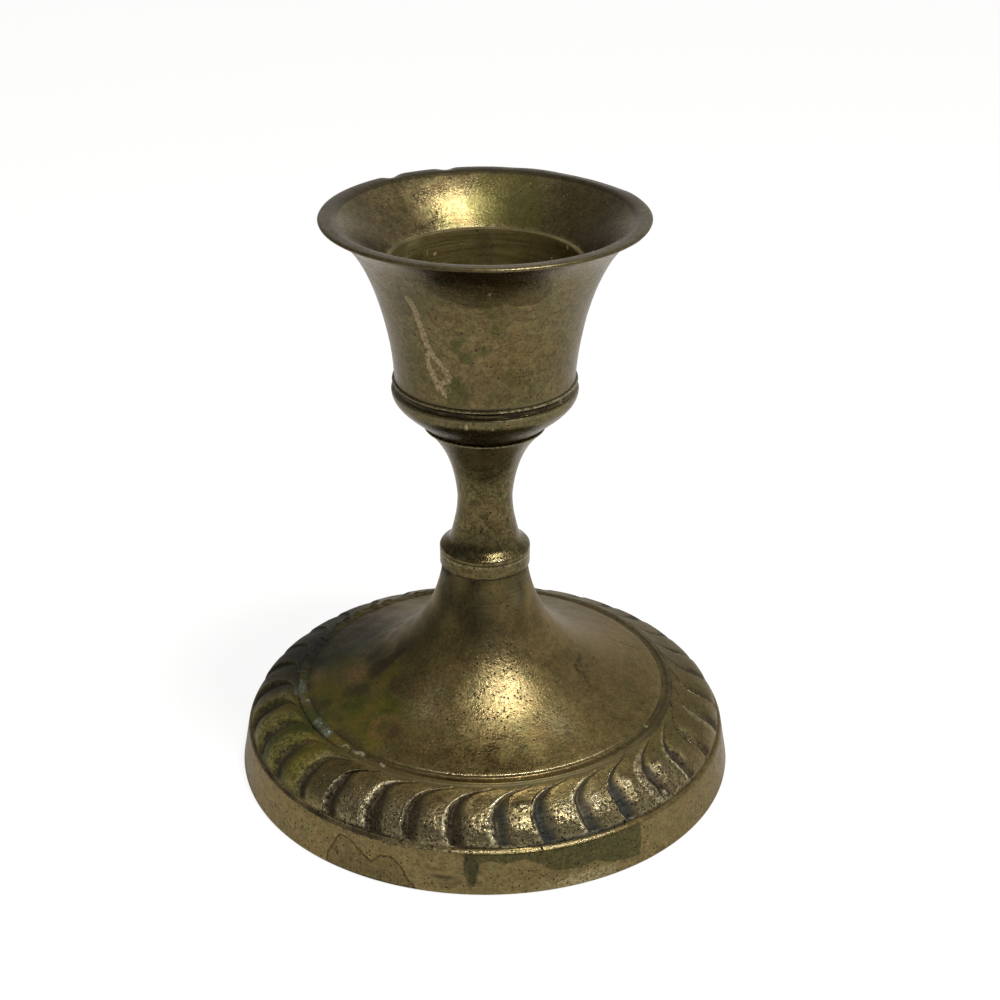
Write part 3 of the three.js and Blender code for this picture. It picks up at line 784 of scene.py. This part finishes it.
pitted = 0.2 * on_skirt + 0.95 * roughest * (1 - 0.8 * np.minimum(pool, 1) * sky_reflection_zone)
pitted += 0.6 * strip * front + 0.55 * on_ridge * ridge_left * smooth((height - 5.3) / 0.15)
pitted_dome = ((0.12, (4, 15), (55, 9), 0.9), (0.34, (10, 10.5), (34, 8), 0.9))
pitted += on_dome * marks(angle, radius, pitted_dome)
pitted += 0.2 * spot(angle, height, (8, 2), (10, 2), 0.9) * on_skirt

vein = [(84, 14.4), (80, 14.0), (77, 14.3), (73, 13.9), (70, 14.3), (66, 14.0), (62.5, 14.8)]
vein += [(61, 15.6)]
branch = [(79, 12.5), (75, 12.9), (72, 12.6), (69, 13.1), (66, 12.8), (64, 13.5)]
streak = [(113, 17.5), (110.5, 18.6), (109, 19.5), (106, 21.5)]
split = [(51.5, 27.6), (49.5, 26.6), (50, 25.8), (46.5, 24.8)]
crack = near(angle, height, split, 0.1) * (radius < 9)
for path, millimetres in ((vein, 0.25), (branch, 0.22), (streak, 0.33)):
    crack = np.maximum(crack, near(angle, radius, path, millimetres))

neck_film = spot(angle, height, (24, 25.5), (46, 3.2), 0.8) * on_dome * (0.5 + 2.0 * clouds)
ring_film = ribbon(radius, 24.8, 0.6) * outward * smooth((60 - np.abs(angle - 5)) / 20)
marked = {
    "crack": crack * on_dome,
    "teal": teal,
    "film": 0.55 * neck_film + 0.6 * ring_film,
    "dirt_and_shade": dirt_and_shade,
    "wear_and_highlight": wear_and_highlight,
    "green": green,
    "rust": rust,
    "bloom_and_reflection": bloom_and_reflection,
    "shade": shadow,
    "stain_and_reflection": within(angle, height, tide, per_degree) * on_skirt,
    "patch": within(angle, height, damp, per_degree) * on_skirt,
    "pitted": pitted,
    "cast": below * 1.0,
}
paint(base, marked)

base_brass = aged_brass(
    "base_aged_brass",
    pale=tone(128, 111, 70),
    deep=tone(112, 96, 60),
    olive=tone(102, 92, 52),
    patch_tone=tone(56, 58, 30),
    pits=0.9,
    lines=0.4,
    grain=0.8,
    mottle=0.4,
    gloss=0.26,
    edge=(0.74, 0.7, 0.65, 1),
    stain_and_reflection=(0.24, 0.9),
)
base.data.materials.append(base_brass)
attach(base, "root")
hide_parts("base")


# Crumbs: verdigris and lime that have grown in the sunk ring, blue-green and white at the left and
# greyish at the right.

ring_floor = 10.72
crumb_rows = (
    (-85, 24.1, 0.5),
    (-82.5, 24.2, 0.36),
    (-75.5, 24.0, 0.52),
    (-73.5, 24.2, 0.3),
    (-66, 24.3, 0.34),
    (-61.5, 24.1, 0.4),
    (-56, 24.0, 0.55),
    (-54.3, 24.1, 0.42),
    (-47, 23.9, 0.46),
    (-45.2, 24.1, 0.28),
    (-41.5, 23.8, 0.5),
    (-39.6, 23.9, 0.34),
    (-31.7, 24.1, 0.36),
    (10, 24.0, 0.22),
    (60, 23.7, 0.36),
    (61.5, 23.9, 0.24),
    (70, 24.0, 0.24),
)
crumbs = []
for index, (around, out, size) in enumerate(crumb_rows):
    turn = math.radians(around)
    centre = Vector((out * math.sin(turn), -out * math.cos(turn), ring_floor)) / 1000
    bpy.ops.mesh.primitive_ico_sphere_add(subdivisions=3, radius=size / 1000, location=centre)
    crumb = bpy.context.object
    crumb.scale = (1.3, 0.8, 0.3)
    crumb.rotation_euler = (0, 0, turn + index)
    bpy.ops.object.transform_apply(location=True, rotation=True, scale=True)
    for vertex in crumb.data.vertices:
        bump = noise.noise(vertex.co * 2600) + 0.5 * noise.noise(vertex.co * 6000)
        vertex.co += (vertex.co - centre) * bump * 0.9
    crumbs.append(crumb)
for crumb in crumbs:
    crumb.select_set(True)
bpy.context.view_layer.objects.active = crumbs[0]
bpy.ops.object.join()
crumb = bpy.context.object
crumb.name = crumb.data.name = "verdigris_crumbs"

verdigris = bpy.data.materials.new("verdigris")
tree = blank_tree(verdigris)
where = add(tree, "ShaderNodeTexCoord").outputs["Object"]
side = add(tree, "ShaderNodeSeparateXYZ", {0: where}).outputs[0]
flecks = add(tree, "ShaderNodeTexNoise", {"Vector": where, "Scale": 1900.0, "Detail": 4.0})
flecks = flecks.outputs["Fac"]
veins = add(tree, "ShaderNodeTexNoise", {"Vector": where, "Scale": 600.0, "Detail": 3.0})
veins = veins.outputs["Fac"]
teal = mixed(tree, ease(tree, flecks, 0.4, 0.6), tone(58, 80, 64), tone(130, 140, 118))
teal = mixed(tree, ease(tree, veins, 0.5, 0.62), teal, tone(160, 162, 148))
lime = mixed(tree, ease(tree, flecks, 0.35, 0.6), tone(76, 70, 50), tone(122, 114, 88))
colour = mixed(tree, ease(tree, side, -0.0192, -0.0176), teal, lime)
relief = add(tree, "ShaderNodeBump", {"Height": flecks, "Distance": 0.00012})
values = {"Base Color": colour, "Roughness": 0.8, "Normal": relief.outputs[0]}
surface = add(tree, "ShaderNodeBsdfPrincipled", values)
add(tree, "ShaderNodeOutputMaterial", {"Surface": surface.outputs[0]})
crumb.data.materials.append(verdigris)
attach(crumb, "root")


# Stem: solid brass, turned in one with its disc and bead, and tapped at both ends. Its spigots
# sit in the base below and in the collar above.

foot = [(2.3, 27.0), (3.9, 27.0), (4.0, 27.1), (4.0, 28.5), (5.62, 28.5), (5.8, 28.68)]
foot += [(5.8, 28.95)]
disc = line((5.8, 28.95), (5.8, 30.3), 5)
groove = [(5.8, 30.3), (5.8, 30.48), (5.755, 30.56), (5.8, 30.64), (5.82, 30.9)]
bead = [(5.82, 30.9), (5.8, 31.02), (5.75, 31.13), (5.66, 31.23), (5.54, 31.32), (5.39, 31.42)]
bead += [(5.22, 31.53), (5.04, 31.66), (4.86, 31.81), (4.7, 31.98), (4.57, 32.18), (4.46, 32.42)]
bead += [(4.36, 32.7), (4.27, 33.02), (4.18, 33.38), (4.09, 33.75), (4.0, 34.15), (3.9, 34.6)]
bead += [(3.8, 35.05), (3.71, 35.55), (3.63, 36.1), (3.56, 36.75), (3.52, 37.4)]
flare = curve((3.5, 38), (7.5, 47.8), (0.08, 0.48), (0.44, 0.76), 34)
head = [(7.5, 47.8), (7.66, 47.82), (7.69, 47.97), (7.6, 48.05), (7.3, 48.05), (4.6, 48.0)]
head += [(4.6, 49.1), (4.5, 49.2), (2.3, 49.2)]
bores = [(2.3, 42.2), (0, 42.2), (0, 33.5), (2.3, 33.5)]
section = rounded(foot, 0.1) + disc + rounded(groove, 0.08) + bead + flare
section += rounded(head, 0.06)[1:] + bores
stem, section = turned("stem_brass", section, 192)
radius, angle, height = read(stem)
measure_along(stem, section, radius, height)
outside = (radius > 3.3) & ((height > 28.62) | (radius > 4.2))
outside &= (height > 28.55) & (height < 48.05) & ((radius > 4.7) | (height < 47.5))
dents = roughened(stem, radius, angle, height, 4.0, 0.035, 2.0) * outside
place(stem, radius + dents, angle, height)

clouds = roughened(stem, radius, angle, height, 2.2, 1.0, 8.0)
# Darker in the groove and at the foot, painted shade, and mottled dirt lower down.
dirt_and_shade = 0.35 * ribbon(height, 30.56, 0.13) + 0.9 * smooth((28.75 - height) / 0.15)
dirt_and_shade += 0.35 * smooth(0.2 + 2 * clouds) * smooth((35 - height) / 3)
# Painted highlights: thin lines at the groove's edge and on the head, and a spot on the bead at the
# front right.
wear_and_highlight = 0.2 * (np.abs(height - 30.4) < 0.1)
wear_and_highlight += 0.3 * spot(angle, height, (20, 31.2), (24, 0.5), 0.9)
wear_and_highlight += 0.3 * (np.abs(height - 47.92) < 0.14) * (radius > 7.53)
# Painted shade and dark reflection on the stem's top front, on the bead's left and below the bead.
shadow = (
    (0.05, (0, 45.8), (95, 2.4), 0.8),
    (0.5, (-40, 32.0), (34, 1.2), 0.7),
    (0.25, (-10, 33.6), (60, 1.6), 0.8),
)
# The zone of the stem's top where a dark reflection lies, painted with a dull film.
dark_reflection_zone = [(-59, 48.2), (-54, 44.6), (-45, 43.4), (-20, 42.6), (10, 42.6), (28, 43.4), (41, 44.6)]
dark_reflection_zone = within(angle, height, dark_reflection_zone + [(61, 48.2)], 0.09)
marked = {
    "dirt_and_shade": dirt_and_shade * outside + 0.6 * (height < 28.6),
    "wear_and_highlight": wear_and_highlight * outside,
    "shade": marks(angle, height, shadow) * outside,
    "film": 0.5 * smooth((dark_reflection_zone - 0.35) / 0.3) * outside,
    "pitted": 0.12 * outside * smooth((45 - height) / 6),
    "rust": 0.2 * spot(angle, height, (25, 36), (30, 3), 0.8) * outside,
}
paint(stem, marked)

stem_brass = aged_brass(
    "stem_aged_brass",
    pale=tone(104, 92, 57),
    deep=tone(75, 66, 41),
    olive=tone(80, 73, 44),
    patch_tone=tone(82, 80, 42),
    pits=0.25,
    lines=0.3,
    grain=0.7,
    mottle=1.1,
    gloss=0.17,
)
stem.data.materials.append(stem_brass)
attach(stem, "root")
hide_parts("stem")


# Collar: a shallow brass dish, turned, with a dark cove between two sharp edges. It sits on the
# stem's upper spigot and takes the cup's.

dish = curve((7.5, 48.2), (11.56, 52.7), (0.36, 0.3), (1.0, 0.66), 34)
edge = [(11.56, 52.7), (11.6, 52.9), (11.58, 53.02), (11.51, 53.12), (11.4, 53.2), (11.26, 53.26)]
cove = [(11.16, 53.3), (11.04, 53.5), (11.15, 53.84), (11.35, 54.0), (11.44, 54.06)]
lip = [(11.46, 54.1), (11.49, 54.18), (11.46, 54.27), (11.38, 54.35), (11.25, 54.4), (11.1, 54.41)]
lip += [(10.5, 54.41), (10.3, 54.5), (8.0, 54.5), (8.0, 52.7), (2.3, 52.7)]
under = [(2.3, 49.5), (4.9, 49.5), (4.9, 48.0), (7.3, 48.0), (7.46, 48.05), (7.5, 48.2)]
section = dish[:-1] + edge + rounded(cove, 0.2) + rounded(lip, 0.03) + rounded(under, 0.06)[:-1]
collar, section = turned("collar", section, 300)
radius, angle, height = read(collar)
measure_along(collar, section, radius, height)
outside = (radius > 7.2) & ((radius > 8.2) | (height < 50)) & (height < 54.4)
clouds = roughened(collar, radius, angle, height, 2.6, 1.0, 21.0)
facing = smooth((70 - np.abs(angle - 12)) / 50)
in_cove = (radius < 11.5) & (radius > 10.8)
# Dark in the cove and on the lip's top away from the front, painted shade, over mottled dirt.
dirt_and_shade = ribbon(height, 53.55, 0.5) * in_cove * (0.62 + 0.5 * clouds)
dirt_and_shade += (0.5 - 0.5 * facing) * (height > 54.36) * (radius < 11.3)
dirt_and_shade += 0.3 * outside * smooth(0.1 + 2 * clouds)
# Painted highlights: light lines on the cove's edge, the lip and the foot, strongest at the front
# right.
wear_and_highlight = 0.22 * (np.abs(height - 53.0) < 0.09) * (radius > 11.3)
wear_and_highlight += 0.55 * ribbon(height, 54.24, 0.2) * (radius > 11.2)
wear_and_highlight *= 0.2 + 0.8 * smooth((apart(angle, 20) + 75) / 60) * smooth((85 - apart(angle, 20)) / 60)
wear_and_highlight += 0.35 * (np.abs(height - 48.15) < 0.12) * (radius > 7.3) * smooth((80 - np.abs(angle)) / 30)
film = 0.75 * (np.abs(height - 53.05) < 0.2) * (radius > 11.2)
film += 0.9 * (height > 54.3) * (radius > 10.9)
specks = (
    (1, (-11, 52.3), (2.0, 0.7), 0.5),
    (1, (2, 52.45), (1.2, 0.3), 0.5),
    (1, (5, 52.2), (1.0, 0.25), 0.5),
    (1, (4, 52.0), (2.4, 0.2), 0.5),
    (1, (55, 53.6), (2.2, 0.5), 0.5),
    (1, (60, 53.9), (1.2, 0.4), 0.5),
)
# Painted shade and dark reflection on the dish's front underside, and shade at the left.
shadow = ((0.45, (0, 50.0), (75, 2.2), 0.5), (0.2, (-60, 52), (50, 2.0), 0.8))
marked = {
    "dirt_and_shade": dirt_and_shade,
    "wear_and_highlight": wear_and_highlight,
    "film": film,
    "tan": marks(angle, height, specks),
    "shade": marks(angle, height, shadow),
    "pitted": 0.15 * outside,
}
paint(collar, marked)

collar_brass = aged_brass(
    "collar_aged_brass",
    pale=tone(107, 97, 64),
    deep=tone(80, 71, 45),
    olive=tone(84, 78, 48),
    patch_tone=tone(82, 80, 42),
    pits=0.4,
    lines=0.5,
    grain=0.7,
    mottle=0.6,
    gloss=0.15,
)
collar.data.materials.append(collar_brass)
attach(collar, "root")
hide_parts("cup_collar")


# Candle cup: a flared brass barrel, turned inside and out, with a flat rim, a narrow ledge and a
# tapered socket for the candle. Its lip is nicked, and wax or cleaning has run down its front.

seat = [(2.3, 53.0), (7.6, 53.0), (7.7, 53.1), (7.7, 54.5), (10.4, 54.5), (10.6, 54.42)]
seat = rounded(seat + [(11.14, 54.42), (11.2, 54.46), (11.2, 54.52)], 0.03)
seat += [(11.2, 54.58), (11.2, 54.66), (11.2, 54.8)]
barrel = curve((11.2, 55.0), (19.64, 74.5), (0.065, 0.42), (0.42, 0.9), 84)
flare_top = (17.7, 74.68)
flare_foot = (12.1, 69.5)
lip = [barrel[-1], (19.78, 74.6), (19.85, 74.72), (19.83, 74.84), (19.7, 74.95), (19.4, 75.0)]
lip += [(18.8, 75.0), (18.3, 74.95), (17.95, 74.84), flare_top]
flare = curve(flare_top, flare_foot, (0.45, 0.3), (0.75, 0.65), 34)
ledge = [(12.04, 69.43), (11.9, 69.38), (11.62, 69.36), (11.52, 69.3), (11.49, 69.2), (11.44, 69.0)]
socket = line((11.4, 68.7), (9.75, 57.3), 24)
floor = rounded([(9.75, 57.3), (9.7, 57.0), (4.15, 57.0), (4.1, 56.8), (2.3, 55.0)], 0.14)
section = seat + barrel[:-1] + rounded(lip, 0.08) + flare[1:] + ledge + socket[:-1] + floor
cup, section = turned("cup_brass", section, 360)
radius, angle, height = read(cup)
nearest = measure_along(cup, section, radius, height)
barrel_foot, barrel_top = index_of(section, (10.8, 54.42)), index_of(section, barrel[-1])
rim_end, mouth_end = index_of(section, flare_top), index_of(section, flare_foot)
outside = (nearest <= barrel_top) & (nearest > barrel_foot)
rim = (nearest >= barrel_top) & (nearest <= rim_end)
within_mouth = (nearest > rim_end) & (nearest <= mouth_end)
in_socket = (nearest > mouth_end) & (radius > 4.0)

# The lip's nicks: a row is an angle, half a width in mm and a depth in mm.
dents = roughened(cup, radius, angle, height, 6.0, 0.05, 4.0) * (height > 56)
mm_at_rim = 19.8 * math.pi / 180
drop = np.zeros(radius.shape)
for at, wide, deep in (
    (-143.5, 0.9, 0.30),
    (-141.0, 0.6, 0.12),
    (-164.5, 0.8, 0.20),
    (-166.5, 0.6, 0.10),
    (170.0, 1.6, 0.04),
    (148.0, 2.6, 0.12),
    (140.0, 1.6, 0.08),
    (131.0, 2.6, 0.16),
    (122.0, 1.5, 0.08),
    (-95.0, 2.0, 0.05),
    (62.0, 1.5, 0.05),
):
    drop += deep * np.exp(-((apart(angle, at) * mm_at_rim / wide) ** 2))
drop *= smooth((radius - 18.2) / 1.5) * rim
clouds = roughened(cup, radius, angle, height, 3.0, 1.0, 17.0)
drifts = roughened(cup, radius, angle, height, 2.4, 1.0, 31.0)
place(cup, radius + dents - 0.35 * drop * (radius > 19.4), angle, height - drop)

# The pale drip down the front, which forks into a loop, and crumbs of wax in the socket.
per_degree = 12.2 * math.pi / 180
drip = [(-38, 68.5), (-36, 67.4), (-36, 66.1), (-34.8, 64.8), (-34.6, 63.2), (-32.5, 62.1)]
drip += [(-31, 61.5)]
left = [(-32, 61.6), (-34.6, 60.6), (-34.2, 59.6), (-32.3, 58.7), (-29.5, 57.8), (-26.5, 56.7)]
left += [(-24.4, 55.9)]
right = [(-31, 61.5), (-29.2, 60.8), (-26.2, 60.2), (-23.2, 59.3), (-21.6, 58.5), (-22.2, 57.9)]
right += [(-25.5, 57.6)]
thread = [(-33.5, 58.6), (-31, 57.6), (-29.4, 56.6)]
tan = near(angle, height, drip, per_degree) + 0.04
tan = np.maximum(tan, near(angle, height, drip[3:5], per_degree) * 1.1)
for path, thinner in ((left, 0.02), (right, -0.04), (thread, 0.16)):
    tan = np.maximum(tan, near(angle, height, path, per_degree) - thinner)
tan *= 1 - 0.16 * smooth((height - 66.2) / 1.5)
tan = np.maximum(tan, 0.8 * spot(angle, height, (2, 70.4), (1.6, 0.5), 0.6))
tan = np.maximum(tan, 0.9 * spot(angle, height, (45, 58.2), (0.9, 0.3), 0.6))
wax_crumbs = (
    (0.95, (118, 68.9), (2.4, 0.5), 0.6),
    (0.95, (121, 68.2), (1.4, 0.5), 0.6),
    (0.95, (132, 66.8), (1.5, 0.4), 0.6),
    (0.95, (-126, 68.2), (1.2, 0.6), 0.6),
    (0.95, (-133, 67.4), (2.0, 0.25), 0.6),
    (0.95, (-140, 67.2), (1.0, 0.7), 0.6),
    (0.95, (-146, 66.8), (2.4, 0.2), 0.6),
)

gold = [(184, 69.6), (190, 72.0), (181, 74.7), (158, 74.7), (151, 72.5), (146, 69.6)]
turned_angle = np.where(angle < 0, angle + 360, angle)
gold = within(turned_angle, height, gold, 14.5 * math.pi / 180)
# The dark patch under the lip at the front is a painted reflection.
dark_reflection_zone = [(-21, 75.0), (-22.5, 72.4), (-25, 71.2), (-23.5, 70.3), (-20, 69.7), (-13.5, 69.0)]
dark_reflection_zone += [(-7, 68.5), (2, 68.4), (8.5, 69.0), (15.5, 68.4), (25, 68.6), (29, 69.5), (29.5, 70.7)]
dark_reflection_zone += [(25, 72.6), (23, 75.0)]

# Darker at the foot and deeper in the socket, painted shade; old wax darkens it too.
dirt_and_shade = 0.3 * (height < 54.6) * (radius > 9)
dirt_and_shade += 0.3 * in_socket * smooth((65 - height) / 5)
old_wax = spot(angle, height, (-128, 68.2), (24, 1.9), 0.7) * (0.7 + 0.9 * clouds)
dirt_and_shade += 0.75 * old_wax * in_socket
green = 0.75 * smooth((drifts - 0.05) / 0.3) * spot(angle, height, (-12, 62), (46, 9), 0.6)
green += 0.5 * smooth((drifts - 0.1) / 0.3) * spot(angle, height, (36, 60), (30, 7), 0.8)
green *= outside
green += 0.55 * spot(angle, height, (-122, 68), (26, 2.4), 0.7) * in_socket
green += 0.30 * spot(angle, height, (170, 70), (60, 5), 0.9) * within_mouth
rust = 0.3 * smooth((-drifts - 0.02) / 0.3) * spot(angle, height, (12, 62), (40, 9), 0.7)
rust += 0.14 * spot(angle, height, (8, 60), (18, 5), 0.9) * (0.8 + 1.2 * clouds)
rust *= outside
rust += 0.3 * spot(angle, height, (125, 72), (26, 4), 0.9) * within_mouth
rust += 0.3 * spot(angle, height, (158, 66.5), (20, 2), 0.9) * in_socket

# Painted shade on the barrel: darker at the left, the right and low down.
barrel_shadow = (
    (0.3, (-66, 62), (44, 14), 0.8),
    (0.12, (66, 62), (40, 14), 0.8),
    (0.2, (4, 56.5), (80, 5), 0.8),
    (0.34, (-34, 68.5), (24, 5), 0.9),
)
# Painted shade: the rim darker towards the back, the mouth at the right, and the socket and ledge
# away from the back.
rim_shadow = 0.5 + 0.3 * smooth((-np.cos(np.radians(angle)) + 0.3) / 0.8)
rim_shadow -= 0.3 * smooth((20 - np.abs(angle - 10)) / 14)
from_back = np.abs(apart(angle, 178))
shadow = rim * rim_shadow + outside * marks(angle, height, barrel_shadow)
shadow += 0.42 * spot(angle, height, (118, 72), (34, 6), 0.7) * within_mouth
shadow += 0.1 * in_socket * smooth((from_back - 30) / 30)
shadow += 0.6 * in_socket * smooth((radius - 11.5) / 0.1) * smooth((from_back - 14) / 16)
# Painted highlights: a light line on the lip at the front right, and one on the mouth's edge.
wear_and_highlight = 0.35 * rim * ribbon(radius, 19.75, 0.12) * smooth((14 - np.abs(angle - 13)) / 8)
wear_and_highlight += 0.12 * (np.abs(radius - 12.15) < 0.12) * within_mouth
film = 0.95 * (height < 54.75) * outside
film += 0.9 * in_socket * (height > 57.2) * (0.85 + 0.5 * clouds)
film += 0.15 * rim * (radius > 19.2)
marked = {
    "tan": tan * outside + marks(angle, height, wax_crumbs) * in_socket,
    "patch": gold * within_mouth,
    "stain_and_reflection": within(angle, height, dark_reflection_zone, 15.5 * math.pi / 180) * outside,
    "dirt_and_shade": dirt_and_shade,
    "green": green,
    "rust": rust,
    "shade": shadow,
    "wear_and_highlight": wear_and_highlight,
    "film": film,
    "pitted": 0.08 * outside + 0.12 * within_mouth + 0.1 * in_socket,
}
paint(cup, marked)

# On the cup the stain mark is only the painted dark reflection: filled, without an edge line.
cup_brass = aged_brass(
    "cup_aged_brass",
    pale=tone(119, 105, 70),
    deep=tone(92, 80, 52),
    olive=tone(92, 85, 50),
    patch_tone=tone(92, 86, 42),
    pits=0.3,
    lines=0.4,
    grain=0.6,
    mottle=0.75,
    stain_and_reflection=(0.44, 0.0),
)
cup.data.materials.append(cup_brass)
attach(cup, "root")
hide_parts("candle_cup")


# Screws and washer: slotted steel, one countersunk in the floor of the socket and one with a pan
# head up inside the base, over a plain washer. They are dull, and rusty where they have been wet.


def old_steel(name):
    material = bpy.data.materials.new(name)
    tree = blank_tree(material)
    where = add(tree, "ShaderNodeTexCoord").outputs["Object"]
    cloudy = add(tree, "ShaderNodeTexNoise", {"Vector": where, "Scale": 900.0, "Detail": 5.0})
    fine = add(tree, "ShaderNodeTexNoise", {"Vector": where, "Scale": 5000.0, "Detail": 3.0})
    rusted = ease(tree, cloudy.outputs["Fac"], 0.46, 0.62)
    steel = mixed(tree, fine.outputs["Fac"], tone(98, 94, 88), tone(140, 136, 128))
    colour = mixed(tree, rusted, steel, tone(84, 56, 36))
    metal = ease(tree, rusted, 0.0, 1.0, 1.0, 0.3)
    roughness = ease(tree, rusted, 0.0, 1.0, 0.38, 0.75)
    bump = add(tree, "ShaderNodeBump", {"Height": cloudy.outputs["Fac"], "Distance": 0.00008})
    values = {"Base Color": colour, "Metallic": metal, "Roughness": roughness}
    values |= {"Normal": bump.outputs[0], "Coat Weight": 0.05, "Coat Roughness": 0.3}
    surface = add(tree, "ShaderNodeBsdfPrincipled", values)
    add(tree, "ShaderNodeOutputMaterial", {"Surface": surface.outputs[0]})
    return material


steel = old_steel("old_steel")


def slotted(piece, width, depth, face):
    """Cuts the screwdriver slot across a head whose outer face is at a height, in mm."""
    bpy.ops.mesh.primitive_cube_add(size=1, location=(0, 0, face / 1000))
    cutter = bpy.context.object
    cutter.scale = (0.02, width / 1000, 2 * depth / 1000)
    bpy.ops.object.transform_apply(location=True, rotation=True, scale=True)
    bpy.context.view_layer.objects.active = piece
    cut = piece.modifiers.new("slot", "BOOLEAN")
    cut.operation = "DIFFERENCE"
    cut.solver = "EXACT"
    cut.object = cutter
    bpy.ops.object.modifier_apply(modifier="slot")
    bpy.data.objects.remove(cutter)


slot_width = 1.1
slot_depth = 1.0
flush = [(0, 43.0), (1.6, 43.0), (2.0, 43.4), (2.0, 55.0), (3.8, 56.8), (3.8, 56.94)]
flush += [(3.74, 57.0), (0, 57.0)]
cup_screw, _ = turned("slotted_cup_screw", rounded(flush, 0.08), 64)
slotted(cup_screw, slot_width, slot_depth, 57.0)

pan = [(0, 16.3)] + curve((2.0, 16.3), (4.0, 17.5), (0.6, 0), (1, 0.4), 8)
pan += [(4.0, 18.6), (3.94, 18.7), (2.0, 18.7), (2.0, 32.3), (1.6, 32.7), (0, 32.7)]
base_screw, _ = turned("slotted_base_screw", pan, 64)
slotted(base_screw, slot_width, slot_depth, 16.3)

ring = [(2.3, 19.1), (2.3, 18.7), (4.5, 18.7), (4.5, 19.5), (2.3, 19.5), (2.3, 19.1)]
washer, _ = turned("plain_washer", rounded(ring, 0.08), 64)

for piece, node in ((cup_screw, "cup_screw"), (base_screw, "base_screw"), (washer, "base_washer")):
    piece.data.materials.clear()
    piece.data.materials.append(steel)
    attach(piece, "root")
    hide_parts(node)
